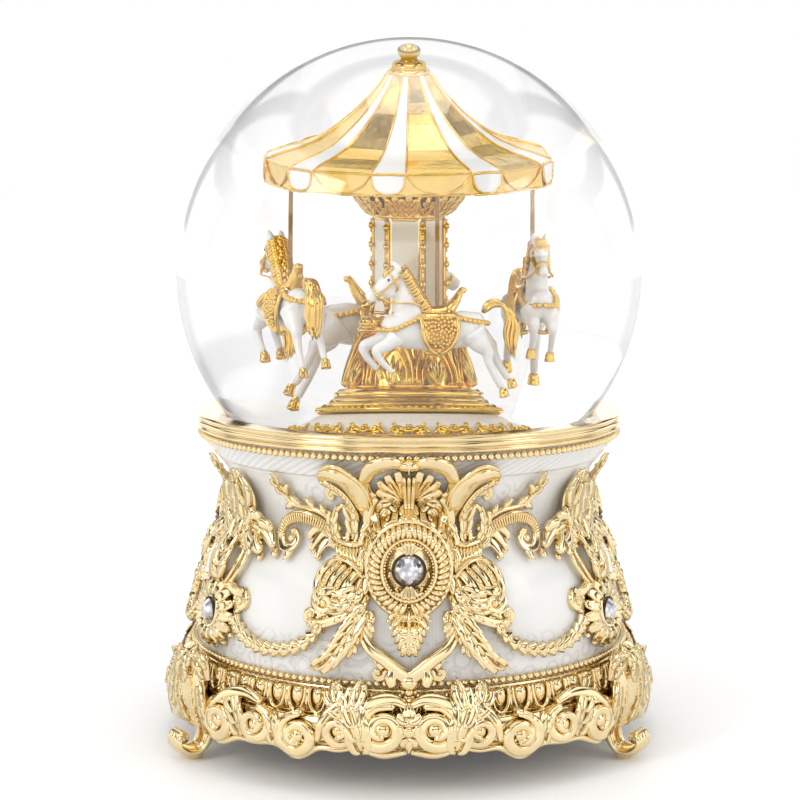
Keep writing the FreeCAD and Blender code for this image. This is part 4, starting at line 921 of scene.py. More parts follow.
def build_gems(settings):
    """The clear stones of the cartouches and rosettes, and the dark bezels round the round ones."""
    bm = bmesh.new()
    bezels = bmesh.new()
    gap = 0.1
    stones = [(azimuth, MEDALLION_HEIGHT, 46.35, settings.cartouche_stone / 2 / MM, 1.0) for azimuth in THIRDS.values()]
    stones += [(azimuth, ROSETTE_HEIGHT, 47.9, settings.rosette_stone / 2 / MM,
                0.76) for azimuth in FOOT_THIRDS.values()]
    for azimuth, height, front, radius, width in stones:
        stone = bmesh.new()
        brilliant(stone, radius, width)
        place = (Matrix.Rotation(math.radians(azimuth), 4, "Z") @ Matrix.Translation((0, -front, height))
                 @ Matrix.Rotation(math.pi / 2, 4, "X"))
        stone.transform(place)
        append(bm, stone)
        bezel = round_tube(0.27, 10, 40)
        for vert in bezel.verts:
            x, y, z = vert.co
            angle = math.atan2(y, x)
            reach = radius + gap + (math.hypot(x, y) - 1)
            vert.co = place @ Vector((reach * math.cos(angle) * width, reach * math.sin(angle), z))
        append(bezels, bezel)
    piece("gem_stones", bm, "base", "crystal", finish("crystal"), replaces=["crystals"], flat=True)
    piece("gem_bezels", bezels, "base", "gold_plate", finish("bezel_dark"))


def rosette_relief(bm):
    """A daisy of sixteen double petals round an oval stone."""
    dome(bm, ROSETTE_HEIGHT, 7.4, 6.6, 1.0, 32, 6)
    petals = 16
    for index in range(petals):
        angle = 2 * math.pi * index / petals
        across, up = math.cos(angle) * 1.12, math.sin(angle)
        reach = [(r * across, ROSETTE_HEIGHT + r * up, w) for r, w in ((2.6, 1.3), (4.6, 2.2), (7.2, 1.3))]
        strip(bm, reach, [0.5, 1.0, 1.2, 0.75], [0.8, 1.1, 1.1, 0.7], channel=0.55, along=12)
        lean = angle + math.pi / petals
        ball(bm, (7.6 * math.cos(lean) * 1.12, ROSETTE_HEIGHT + 7.0 * math.sin(lean), 0.8), 0.7)
    ring(bm, (0, ROSETTE_HEIGHT), 2.6, 3.2, 0.6, height=1.9)


def branch_half(bm):
    """The stems that rise from the rosette on one side, and the leaves that they carry."""
    strip(bm, [(1.6, 36.6, 0.7), (4.4, 40.0, 1.2), (5.4, 44.0, 1.4), (3.2, 48.4, 1.2)], [0.9, 0.7, 0.6, 0.8], 1.1,
          channel=0.3, along=26)
    strip(bm, [(3.0, 36.0, 0.7), (6.4, 39.6, 1.2), (7.4, 43.6, 1.4), (5.6, 47.6, 1.2)], [0.7, 0.55, 0.5, 0.6], 1.0,
          along=26, around=8)
    leaf(bm, [(1.2, 47.0, 1.0), (3.6, 51.0, 2.0), (3.8, 55.4, 1.7), (1.4, 59.4, 0.9)], 3.0, 1.7, fingers=4)
    leaf(bm, [(2.6, 48.4, 1.0), (6.6, 49.4, 2.0), (11.0, 48.2, 1.7), (14.8, 45.4, 1.0)], 3.0, 1.7, fingers=4)
    leaf(bm, [(3.4, 46.6, 1.0), (7.4, 46.8, 1.6), (10.6, 44.2, 1.2)], 2.0, 1.4, fingers=4)
    ball(bm, (15.2, 44.6, 1.0), 1.0)
    ball(bm, (10.9, 43.4, 0.9), 0.8)
    scroll(bm, [(2.4, 36.0, 0.7), (5.4, 37.0, 1.2), (8.4, 36.2, 1.4)], (8.7, 34.2), 1.9, 90, 1.2, -1, 0.9, 1.3)
    leaf(bm, [(0.6, 52.0, 0.8), (1.4, 56.0, 1.4), (1.0, 60.4, 0.8)], 1.4, 1.2, fingers=3)


def branches_relief(bm):
    branch_half(bm)
    mirrored(bm)
    leaf(bm, [(0, 38.0, 0.8), (0, 42.6, 2.0), (0, 47.0, 1.8), (0, 52.0, 1.0)], 2.6, 1.7, fingers=5)


def build_rosettes():
    for prefix, build, node in (("rosette_flower", rosette_relief, "rosettes"),
                                ("rosette_leaves", branches_relief, "leaf_branches")):
        three_copies(prefix, build, BELL, FOOT_THIRDS, lambda name: [node] if name == "front_left" else [])


def garland_relief(bm):
    """Linked bells that hang from a cartouche's side to the rosette's lower edge."""
    route = [(17.4, 33.2, 0.9), (19.2, 30.4, 1.0), (22.4, 27.8, 1.0), (27.0, 26.6, 1.0), (32.0, 26.6, 1.0),
             (36.6, 28.2, 1.0), (40.2, 30.8, 0.9)]
    path = Path(route)
    count = 12
    for index in range(count):
        start, middle, end = (path.at((index + share) / count) for share in (-0.1, 0.45, 0.92))
        strip(bm, [start, middle, end], [0.5, 0.9, 1.35, 1.85], [0.8, 1.2, 1.5, 1.7], channel=0.1, along=12)
        ball(bm, end + Vector((0, -1.1, 0)), 0.7, detail=8)
    leaf(bm, [(16.6, 34.4, 0.8), (18.2, 32.4, 1.4), (19.6, 30.2, 0.9)], 1.2, 1.2, fingers=3)
    leaf(bm, [(17.0, 26.2, 0.5), (17.6, 24.4, 0.9), (20.4, 23.6, 0.6)], 0.7, 0.8, fingers=3)
    mirrored(bm)


def build_garlands():
    three_copies("garland", garland_relief, BELL, THIRDS, lambda name: ["garlands"] if name == "front" else [])


# The apron's volutes: (u, height, radius, start angle, hand), from the middle to the foot.
APRON_VOLUTES = [
    (4.7, 13.6, 4.3, 80, -1), (12.5, 12.9, 3.0, 110, 1), (20.2, 11.2, 3.9, 60, -1), (29.2, 12.0, 3.3, 120, 1),
    (38.6, 10.8, 4.2, 80, -1),
]


def apron_half(bm):
    for u, v, radius, start, hand in APRON_VOLUTES:
        tangent = math.radians(start - 90 * hand)
        first = (u + radius * math.cos(math.radians(start)), v + radius * math.sin(math.radians(start)))
        lead = (first[0] + 0.9 * radius * math.cos(tangent), first[1] + 0.9 * radius * math.sin(tangent) - 0.2, 1.0)
        scroll(bm, [lead], (u, v), radius, start, 1.6, hand, radius * 0.32, 3.6, channel=0.3, eye=1.1)
        # Ribs round the volute's rim.
        for index in range(14):
            angle = 2 * math.pi * index / 14
            strip(bm, [(u + 0.45 * radius * math.cos(angle), v + 0.45 * radius * math.sin(angle), 1.6),
                       (u + 0.8 * radius * math.cos(angle + 0.2), v + 0.8 * radius * math.sin(angle + 0.2), 1.9)],
                  0.22, 0.8, along=5, around=6)
    # Tall acanthus leaves beside the middle, and leaves that fill between the volutes.
    leaf(bm, [(8.2, 8.8, 1.2), (9.0, 13.6, 2.6), (10.2, 18.6, 2.2), (8.8, 23.2, 1.0)], 2.0, 1.5, fingers=5)
    leaf(bm, [(10.0, 15.4, 1.0), (12.6, 17.4, 2.2), (14.2, 20.2, 1.6), (13.6, 22.2, 0.8)], 1.9, 1.5, fingers=4)
    strip(bm, [(0.6, 18.2, 1.4), (3.2, 19.4, 2.6), (6.6, 18.6, 2.8), (8.6, 15.4, 2.4)], [0.6, 1.1, 1.2, 0.6], 1.8,
          channel=0.3, along=26)
    strip(bm, [(9.8, 20.6, 1.2), (12.6, 18.0, 2.2), (15.4, 14.6, 2.2), (16.2, 10.4, 1.4)], [0.5, 0.95, 0.9, 0.4], 1.6,
          channel=0.3, along=26)
    leaf(bm, [(24.9, 9.0, 0.8), (25.0, 12.0, 1.6), (25.4, 15.2, 1.0)], 1.1, 1.2, fingers=3)
    leaf(bm, [(33.0, 9.0, 0.8), (33.6, 12.8, 1.6), (36.0, 17.0, 1.4), (39.4, 19.8, 0.9)], 1.8, 1.4, fingers=5)
    strip(bm, [(28.2, 16.4, 1.2), (32.6, 17.8, 2.2), (37.4, 16.4, 2.4), (41.6, 12.6, 1.8)], [0.5, 1.0, 1.0, 0.5], 1.6,
          channel=0.3, along=26)
    # Pebbled field of the widest inner volute, and the scalloped lower border.
    for index in range(26):
        angle, reach = index * 2.4, 0.42 * math.sqrt(index)
        ball(bm, (20.2 + reach * math.cos(angle), 11.2 + reach * math.sin(angle), 2.3), 0.32, detail=6)
    border = [(0.0, 9.4, 1.2), (4.6, 8.4, 1.3), (9.0, 9.8, 1.2), (12.5, 9.2, 1.3), (16.0, 9.2, 1.2), (20.2, 6.9, 1.3),
              (24.6, 8.8, 1.2), (29.2, 8.4, 1.3), (33.4, 8.2, 1.2), (38.6, 6.3, 1.3), (42.6, 8.4, 1.1)]
    strip(bm, border, 0.7, 1.0, along=80, around=8)


def apron_relief(bm):
    apron_half(bm)
    mirrored(bm)
    # Backing plate, palmettes of the middle and the drop under the V.
    strip(bm, [(-43.0, 12.2, 0.2), (0.0, 12.4, 0.2), (43.0, 12.2, 0.2)], [3.0, 3.2, 3.0], 0.7, along=90, around=8)
    leaf(bm, [(0, 13.8, 1.6), (0, 16.0, 2.8), (0, 18.6, 1.8)], 1.9, 1.4, fingers=3)
    leaf(bm, [(0, 13.2, 1.4), (0, 11.4, 2.2), (0, 9.2, 1.4)], 1.3, 1.2, fingers=3)
    ball(bm, (0, 13.4, 3.0), 1.1, detail=12)
    # What stands furthest out is pressed in a little, so that the aprons keep to the feet's reach.
    proud, press = 2.3, 0.5
    for vert in bm.verts:
        if -vert.co.y > proud:
            vert.co.y = -(proud + press * (-vert.co.y - proud))
    bmesh.ops.recalc_face_normals(bm, faces=bm.faces)


def build_aprons():
    three_copies("apron_scrolls", apron_relief, SKIRT, THIRDS, lambda name: ["apron_" + name])


def foot_shape(bm):
    """A scroll foot at the front: an S-shaped leg that curls outwards and up at its toe."""
    def side_point(r, z):
        return Vector((0, -r, z))

    spine = [side_point(49.6, 22.4), side_point(51.4, 18.6), side_point(51.4, 14.0), side_point(49.8, 9.6),
             side_point(49.2, 5.4), side_point(50.8, 2.3), side_point(53.6, 2.0), side_point(55.7, 3.6),
             side_point(55.4, 5.6), side_point(53.8, 5.5)]
    across = Vector((1, 0, 0))
    path = Path(spine)

    def leg(t, s, face):
        centre = path.at(t)
        along = path.heading(t)
        outward = across.cross(along).normalized()
        half = spread([3.2, 5.0, 4.9, 3.9, 3.0, 2.6, 2.7, 2.7, 2.3, 1.4], t)
        thick = spread([1.4, 2.2, 2.4, 2.3, 2.1, 1.9, 1.5, 1.4, 1.2, 0.9], t)
        dish = 1 - 0.28 * math.exp(-(s / 0.5) ** 2) if face > 0 else 1.0
        return centre + across * s * half + outward * face * thick * dish

    form(bm, leg, 24, 60)
    for side in (-1, 1):
        edge = [p + Vector((side * w, -0.2, 0)) for p,
                w in zip(spine, (3.0, 4.8, 4.7, 3.7, 2.9, 2.5, 2.6, 2.6, 2.2, 1.4))]
        strip(bm, edge, 0.6, 0.6, sink=0.6, along=60, around=8, out=Vector((side, 0, 0)))
    rows = 20
    for row in range(rows):
        t = 0.14 + 0.4 * row / rows
        centre = path.at(t)
        along = path.heading(t)
        outward = across.cross(along).normalized()
        if outward.y > 0:
            outward = -outward
        for column in range(-3, 4):
            offset = column * 0.85 + (0.42 if row % 2 else 0.0)
            if abs(offset) < spread([3.6, 3.6, 3.0, 2.2, 1.8], t * 2):
                ball(bm, centre + across * offset + outward * 1.95, 0.36, detail=6)
    # Leaves that clasp the top of the leg and hang at its sides.
    for side in (-1, 1):
        leaf(bm, [Vector((side * 1.4, -51.4, 20.0)), Vector((side * 3.6, -52.6, 22.4)),
                  Vector((side * 6.4, -51.8, 21.4)),
                  Vector((side * 6.8, -50.9, 17.6))], 1.7, 1.3, fingers=4)
        leaf(bm, [Vector((side * 4.6, -51.4, 17.6)), Vector((side * 6.0, -52.0, 13.0)),
                  Vector((side * 5.8, -50.6, 8.6)),
                  Vector((side * 3.8, -50.0, 5.6))], 1.2, 1.2, fingers=5)
    leaf(bm, [Vector((0, -50.4, 23.6)), Vector((0, -53.0, 21.6)), Vector((0, -53.7, 19.0)), Vector((0, -53.4, 16.0))],
         2.5, 1.1, fingers=4)
    strip(bm, [Vector((-2.4, -55.0, 5.2)), Vector((0, -55.0, 5.2)), Vector((2.4, -55.0, 5.2))], 1.3, 1.3, sink=1.3,
          along=16)
    strip(bm, [Vector((0, -51.6, 3.2)), Vector((0, -51.6, 1.6)), Vector((0, -51.6, 0.0))], [1.2, 2.0, 2.2, 1.6], 1.6,
          sink=1.6, along=12)


def build_feet():
    """Three feet from one shape, cut off level with the table."""
    base = bmesh.new()
    foot_shape(base)
    for vert in base.verts:
        vert.co.z = max(vert.co.z, 0.0)
    for name, azimuth in FOOT_THIRDS.items():
        copy = base.copy()
        bmesh.ops.rotate(copy, verts=copy.verts, cent=(0, 0, 0), matrix=Matrix.Rotation(math.radians(azimuth), 3, "Z"))
        base_gold("scroll_foot_" + name, copy, "foot_" + name)
    base.free()


# ---------------------------------------------------------------------------------------------- globe

def globe_arc(radius, start_radius, steps):
    """Points up a meridian of the globe, from the radius of its neck to its top."""
    first = math.asin(start_radius / radius)
    angles = [math.pi - first - (math.pi - first) * i / steps for i in range(steps + 1)]
    return [(radius * math.sin(a), GLOBE_CENTRE + radius * math.cos(a)) for a in angles]


def build_globe(settings):
    """The glass globe with its open neck, and the water that fills it."""
    glass = bmesh.new()
    wall = settings.glass_wall / MM
    foot, top = 56.0, GLOBE_CENTRE + GLOBE_RADIUS
    outer = globe_arc(GLOBE_RADIUS, NECK_RADIUS, 96)
    inner = globe_arc(GLOBE_RADIUS - wall, NECK_RADIUS - wall, 96)
    outline = ([(NECK_RADIUS, foot)] + outer[:-1] + [(0.0, top), (0.0, top - wall)] + list(reversed(inner[:-1]))
               + [(NECK_RADIUS - wall, foot)])
    turned(glass, outline, segments=192)
    piece("globe_shell", glass, "base", "clear_glass", finish("clear_glass"), replaces=["globe_glass"])
    water = bmesh.new()
    edge = NECK_RADIUS - 1.0
    wet = [(r, z) for r, z in globe_arc(WATER_RADIUS, edge, 96)[:-1] if z > WATER_BOTTOM + 0.05]
    outline = [(0.0, WATER_BOTTOM), (edge, WATER_BOTTOM)] + wet + [(0.0, GLOBE_CENTRE + WATER_RADIUS)]
    turned(water, outline, segments=192)
    piece("globe_water", water, "base", "clear_glass", finish("water"))


def build_stand():
    """The white mound with its fluted flare, and the openwork ring round it."""
    bm = bmesh.new()
    outline = [(0.0, 64.1), (27.0, 64.1), (27.0, 67.0), (24.5, 69.6), (23.0, 70.8), (19.8, 70.9), (19.6, 73.0),
               (19.0, 74.0), (17.8, 74.7), (16.4, 75.4), (15.3, 76.2), (0.0, 76.2)]
    turned(bm, outline, segments=144)
    flutes = 48
    for vert in bm.verts:
        radius = math.hypot(vert.co.x, vert.co.y)
        if radius > 14.0 and vert.co.z > 70.8 and vert.co.z < 76.0:
            angle = math.atan2(vert.co.y, vert.co.x)
            scale = 1 + 0.018 * math.cos(flutes * angle)
            vert.co.x *= scale
            vert.co.y *= scale
    piece("stand_mound", bm, "base", "stand_white", finish("stand_white"), replaces=["carousel_stand"])
    lace = bmesh.new()
    turned(lace, [(19.9, 70.9), (22.4, 70.9), (22.5, 71.3), (22.0, 71.6), (20.2, 71.6), (19.9, 71.4)], segments=96)
    motif = bmesh.new()
    strip(motif, [(-4.2, 71.9, 0.1), (-2.1, 73.4, 0.3), (0.0, 72.5, 0.3), (2.1, 73.4, 0.3), (4.2, 71.9, 0.1)], 0.3, 0.4,
          along=24, around=6)
    for hand in (-1, 1):
        leaf(motif, [(hand * 0.9, 72.3, 0.1), (hand * 2.2, 72.2, 0.5), (hand * 3.4, 73.2, 0.2)], 0.75, 0.5, fingers=3)
        scroll(motif, [(hand * 3.0, 73.2, 0.2)], (hand * 2.9, 73.9), 0.5, -90, 0.9, -hand, 0.2, 0.4)
    for index in range(6):
        angle = 2 * math.pi * index / 6
        ball(motif, (0.62 * math.cos(angle), 73.1 + 0.62 * math.sin(angle), 0.4), 0.34, detail=6)
    ball(motif, (0, 73.1, 0.6), 0.36, detail=6)
    repeat_round(lace, motif, lambda v: 22.3 - 0.75 * (v - 71.0), evenly(16), 21.2)
    piece("stand_lace", lace, "base", "gold_plate", finish("gold_inner"), replaces=["stand_crown_ring"])


# ---------------------------------------------------------------------------------------------- carousel

def build_turntable():
    """The stepped turntable with its row of beads."""
    bm = bmesh.new()
    outline = [(0.0, 76.6), (14.6, 76.6), (15.1, 76.8), (15.25, 77.1), (15.1, 77.4), (14.5, 77.55), (14.2, 77.8),
               (14.25, 78.05), (14.0, 78.3), (13.3, 78.4), (12.95, 78.6), (13.0, 78.85), (12.7, 79.1), (12.2, 79.3),
               (12.1, 79.7), (12.3, 79.95), (12.1, 80.3), (11.6, 80.5), (11.4, 80.8), (0.0, 80.8)]
    turned(bm, outline, segments=128)
    ball_circle(bm, 72, 14.9, 77.35, 0.42, 6)
    carousel_gold("turntable_steps", bm, "turntable_base")


def build_leaf_drum():
    """The flared drum, clothed in upright leaves with curls between them."""
    bm = bmesh.new()
    low, high, steps = 80.8, 90.3, 16
    heights = [low + (high - low) * index / steps for index in range(steps + 1)]
    outer = [(leaf_drum_radius(z), z) for z in heights]
    turned(bm, [(0.0, low)] + outer + [(0.0, high)], segments=96)
    motif = bmesh.new()
    # One bay: a double pointed arch over a palmette, with a leaf where two arches meet.
    for share, height in ((1.0, 0.75), (0.74, 0.5)):
        sill = 81.2
        rise = 8.7 * share
        arch = [(side * 3.55 * share * reach, sill + rise * up, 0.15)
                for side, reach, up in ((-1, 1.0, 0.0), (-1, 0.98, 0.38), (-1, 0.7, 0.72), (-1, 0.26, 0.94),
                                        (0, 0.0, 1.0),
                                        (1, 0.26, 0.94), (1, 0.7, 0.72), (1, 0.98, 0.38), (1, 1.0, 0.0))]
        strip(motif, arch, 0.3 * share, height, along=44, around=8)
    for lean, reach in ((-1.75, 2.9), (-1.05, 4.1), (0.0, 5.0), (1.05, 4.1), (1.75, 2.9)):
        strip(motif, [(0.1 * lean, 81.6, 0.1), (0.6 * lean, 81.6 + 0.55 * reach, 0.3), (lean, 81.6 + reach, 0.1)],
              [0.16, 0.4, 0.44, 0.08], 0.55, channel=0.3, along=14, around=8)
    strip(motif, [(3.93, 85.6, 0.0), (3.93, 87.8, 0.1), (3.93, 90.2, 0.4)], [0.12, 0.62, 0.5, 0.15], 0.5, channel=0.3,
          along=12, around=8)
    for across, up, size in ((0.0, 81.7, 0.55), (3.93, 82.4, 0.6), (3.93, 84.4, 0.4)):
        ball(motif, (across, up, 0.25), size)
    repeat_round(bm, motif, leaf_drum_radius, evenly(8, 28.0), 10.0)
    carousel_gold("leaf_drum_relief", bm, "leaf_drum")


def build_ball_ring():
    bm = bmesh.new()
    turned(bm, [(0.0, 90.3), (8.3, 90.3), (8.5, 90.6), (8.3, 90.95), (7.9, 91.2), (0.0, 91.3)], segments=72)
    ball_circle(bm, 22, 7.2, 91.75, 1.0, 10)
    carousel_gold("ball_gallery", bm, "ball_ring")


COLUMN_VERTEX = -38.0


def build_column():
    """Beaded strips on the column's six corners, and narrow frames round its panels."""
    bm = bmesh.new()
    for index in range(6):
        outward = round_point(COLUMN_VERTEX + 60 * index, 1.0, 0)
        base = outward * 5.75
        strip(bm, [base + Vector((0, 0, z)) for z in (93.3, 98.0, 104.0, 109.0)], 0.42, 0.35, sink=0.3, out=outward,
              along=20, around=10)
        for row in range(5):
            height = 95.0 + row * 3.1
            ball(bm, base + outward * 0.35 + Vector((0, 0, height)), 0.58, detail=10)
            for lift in (-0.85, 0.85):
                ball(bm, base + outward * 0.3 + Vector((0, 0, height + lift)), 0.36, detail=6)
        face = math.radians(COLUMN_VERTEX + 60 * index + 30)
        normal = Vector((math.sin(face), -math.cos(face), 0))
        along = Vector((math.cos(face), math.sin(face), 0))
        for height in (93.35, 108.75):
            strip(bm, [normal * 5.2 + along * u + Vector((0, 0, height)) for u in (-2.3, 0.0, 2.3)], 0.3, 0.3, sink=0.3,
                  out=normal, along=8, around=8)
    carousel_gold("column_beading", bm, "column_strips")


def build_capital():
    """The flared capital, with a curled leaf over each corner of the column."""
    bm = bmesh.new()
    outline = [(0.0, 109.0), (6.3, 109.0), (6.55, 109.25), (6.35, 109.55), (6.6, 110.0), (7.0, 110.8), (7.5, 111.6),
               (8.0, 112.4), (8.15, 113.2), (7.9, 114.0), (0.0, 114.0)]
    turned(bm, outline, segments=72)

    def flare(z):
        return spread([6.3, 6.6, 7.1, 7.8, 8.1, 8.0], (z - 109.0) / 5.0)

    motif = bmesh.new()
    for hand in (-1, 1):
        strip(motif, [(0, 109.4, 0.2), (hand * 0.9, 110.6, 0.5), (hand * 1.5, 112.2, 0.7), (hand * 0.8, 113.2, 0.7),
                      (0, 112.6, 0.6)], [0.3, 0.42, 0.45, 0.4, 0.25], 0.5, along=20, around=8)
    leaf(motif, [(0, 110.0, 0.2), (0, 111.6, 0.7), (0, 113.0, 0.5)], 0.7, 0.6, fingers=3)
    plain = bmesh.new()
    leaf(plain, [(0, 109.6, 0.1), (0, 111.4, 0.6), (0, 113.4, 0.8)], 1.2, 0.5, fingers=4)
    repeat_round(bm, motif, flare, evenly(6, COLUMN_VERTEX), 7.0)
    repeat_round(bm, plain, flare, evenly(6, COLUMN_VERTEX + 22) + evenly(6, COLUMN_VERTEX + 38), 7.0)
    carousel_gold("capital_leaves", bm, "capital")


EAVES_RADIUS = 23.4
EAVES_HEIGHT = 118.3
VALANCE_FOOT = 114.5
CANOPY_OUTLINE = [(EAVES_RADIUS, EAVES_HEIGHT), (21.8, 118.95), (20.2, 119.45), (17.7, 120.15), (14.5, 121.5),
                  (12.0, 123.2),
                  (9.6, 125.2), (8.0, 126.8), (6.4, 128.7), (4.8, 130.9), (3.65, 132.9)]
CANOPY_FIRST = -16.6
WHITE_DEGREES = 15.3


def canopy_azimuths():
    azimuths = []
    for index in range(8):
        azimuths += [CANOPY_FIRST + 45 * index, CANOPY_FIRST + 45 * index + WHITE_DEGREES]
    return azimuths


def build_canopy():
    """The tent: white and gold flat panels over a thin shell, with ribs, a valance and its tongues."""
    azimuths = canopy_azimuths()
    outline = CANOPY_OUTLINE + [(3.0, 132.9), (3.2, 131.9)]
    inner = [(max(r - 0.9, 3.0), z - 0.9) for r, z in reversed(CANOPY_OUTLINE[:-1])]
    outline = outline + inner + [(22.5, VALANCE_FOOT), (23.35, VALANCE_FOOT - 0.1)]
    bm = bmesh.new()
    made = bmesh.ops.create_circle(bm, segments=16, radius=1.0)["verts"]
    made = sorted(made, key=lambda vert: math.atan2(vert.co.x, -vert.co.y))
    azimuths.sort(key=lambda a: ((a + 180) % 360))
    for vert, azimuth in zip(made, azimuths):
        vert.co = round_point(azimuth, *outline[0])
    edges = list({edge for vert in made for edge in vert.link_edges})
    eaves = edges
    for radius, height in outline[1:]:
        made_geometry = bmesh.ops.extrude_edge_only(bm, edges=edges)["geom"]
        fresh = [item for item in made_geometry if isinstance(item, bmesh.types.BMVert)]
        edges = [item for item in made_geometry if isinstance(item, bmesh.types.BMEdge)]
        for vert in fresh:
            scale = radius / math.hypot(vert.co.x, vert.co.y)
            vert.co = Vector((vert.co.x * scale, vert.co.y * scale, height))
    bmesh.ops.bridge_loops(bm, edges=edges + eaves)
    for face in bm.faces:
        centre = face.calc_center_median()
        azimuth = math.degrees(math.atan2(centre.x, -centre.y))
        white = (azimuth - CANOPY_FIRST) % 45 < WHITE_DEGREES
        face.material_index = 1 if white and centre.z > EAVES_HEIGHT - 0.1 else 0
    piece("tent_roof", bm, "carousel", "canopy_gold", [finish("gold_hammered"), finish("canopy_white")],
          replaces=["canopy"], flat=True)
    trim = bmesh.new()
    white_tongues = bmesh.new()
    for azimuth in azimuths:
        rib = [round_point(azimuth, r + 0.03, z + 0.05) for r, z in CANOPY_OUTLINE]
        strip(trim, rib, 0.2, 0.2, sink=0.2, out=round_point(azimuth, 1.0, 0.6), along=24, around=6)
    for index in range(16):
        start, end = azimuths[index], azimuths[(index + 1) % 16]
        end = end if end > start else end + 360
        a, b = round_point(start, EAVES_RADIUS, 0), round_point(end, EAVES_RADIUS, 0)
        middle = (a + b) / 2
        normal = middle.normalized()
        for level in (Vector((0, 0, VALANCE_FOOT)), Vector((0, 0, EAVES_HEIGHT))):
            strip(trim, [a + level, middle + level, b + level], 0.26, 0.24, sink=0.24, out=normal, along=8, around=8)
        half = (b - a) / 2

        def hang(x, z):
            return middle + half * x + normal * 0.12 + Vector((0, 0, z))

        if end - start < 20:
            def tongue(t, s, face):
                drop = 118.2 - 3.55 * t
                width = 0.98 * math.sqrt(max(1 - max(t - 0.25, 0.0) ** 2.2 / 0.62, 0.0))
                return middle + half * s * width + Vector((0, 0, drop)) + normal * (0.25 * max(face, 0.0) ** 0.3 + 0.05)

            form(white_tongues, tongue, 16, 14)
            strip(trim, [hang(-0.98, 118.2), hang(-0.95, 116.8), hang(-0.68, 115.3), hang(0, 114.6), hang(0.68, 115.3),
                         hang(0.95, 116.8), hang(0.98, 118.2)], 0.18, 0.34, sink=0.1, out=normal, along=30, around=6)
        else:
            strip(trim, [hang(-0.98, 118.2), hang(-0.72, 116.2), hang(-0.3, 114.9), hang(0, 114.6), hang(0.3, 114.9),
                         hang(0.72, 116.2), hang(0.98, 118.2)], 0.2, 0.3, sink=0.1, out=normal, along=30, around=6)
    carousel_gold("tent_trim", trim)
    piece("tent_tongues", white_tongues, "carousel", "canopy_gold", finish("canopy_white"))


def build_finial():
    bm = bmesh.new()
    ball_arc = [(2.05 * math.sin(math.radians(a)), 137.6 - 2.05 * math.cos(math.radians(a))) for a in range(40, 180,
                                                                                                            14)]
    outline = [(0.0, 132.8), (3.4, 132.9), (3.5, 133.3), (3.1, 133.7), (2.6, 133.9), (2.9, 134.3), (2.7, 134.8),
               (1.9, 135.1), (1.4, 135.5)] + ball_arc + [(0.0, 139.65)]
    turned(bm, outline, segments=64)
    carousel_gold("tent_finial", bm, "finial")


def build_poles(settings):
    """Thin bright poles, with a collar where each meets its saddle and the ceiling."""
    bm = bmesh.new()
    pole = settings.pole_diameter / 2 / MM
    for azimuth, lift in HORSE_PLACES.values():
        foot = 94.2 + lift
        base = round_point(azimuth, HORSE_CIRCLE, 0)
        strip(bm, [base + Vector((0, 0, z)) for z in (foot - 1.5, 105.0, 117.0)], pole, pole, sink=pole, along=8,
              around=16)
        for height in (foot + 0.1, 116.6):
            ball(bm, base + Vector((0, 0, height)), 0.62, detail=10)
    piece("bright_poles", bm, "carousel", "gold_plate", finish("pole_gold"), replaces=["horse_poles"])


# ---------------------------------------------------------------------------------------------- horses

HORSE_PLACES = {"front": (14.0, 0.0), "right": (104.0, 3.5), "back": (194.0, 0.0), "left": (-76.0, 3.5)}


def limb(bm, stations, around=14, along=24, flat=1.0):
    """A round-sectioned limb through (forward, up, radius) or (forward, up, radius, sideways) stations."""
    points = [Vector((s[0], 0.0 if len(s) < 4 else s[3], s[1])) for s in stations]
    radii = [s[2] for s in stations]
    path = Path(points)
    shares = [stop / path.length for stop in path.stops]

    def radius_at(t):
        index = min(max(bisect_left(shares, t) - 1, 0), len(radii) - 2)
        share = (t - shares[index]) / (shares[index + 1] - shares[index])
        share = share * share * (3 - 2 * share)
        return radii[index] * (1 - share) + radii[index + 1] * share

    def place(t, s, face):
        cap = min(1.0, math.sqrt(max(1 - (1 - min(t, 1 - t) / 0.06) ** 2, 0.0))) if min(t, 1 - t) < 0.06 else 1.0
        centre = path.at(t)
        along = path.heading(t)
        across = Vector((0, 1, 0))
        other = across.cross(along).normalized()
        radius = radius_at(t) * cap
        return centre + across * s * radius * flat + other * face * radius

    form(bm, place, around, along)


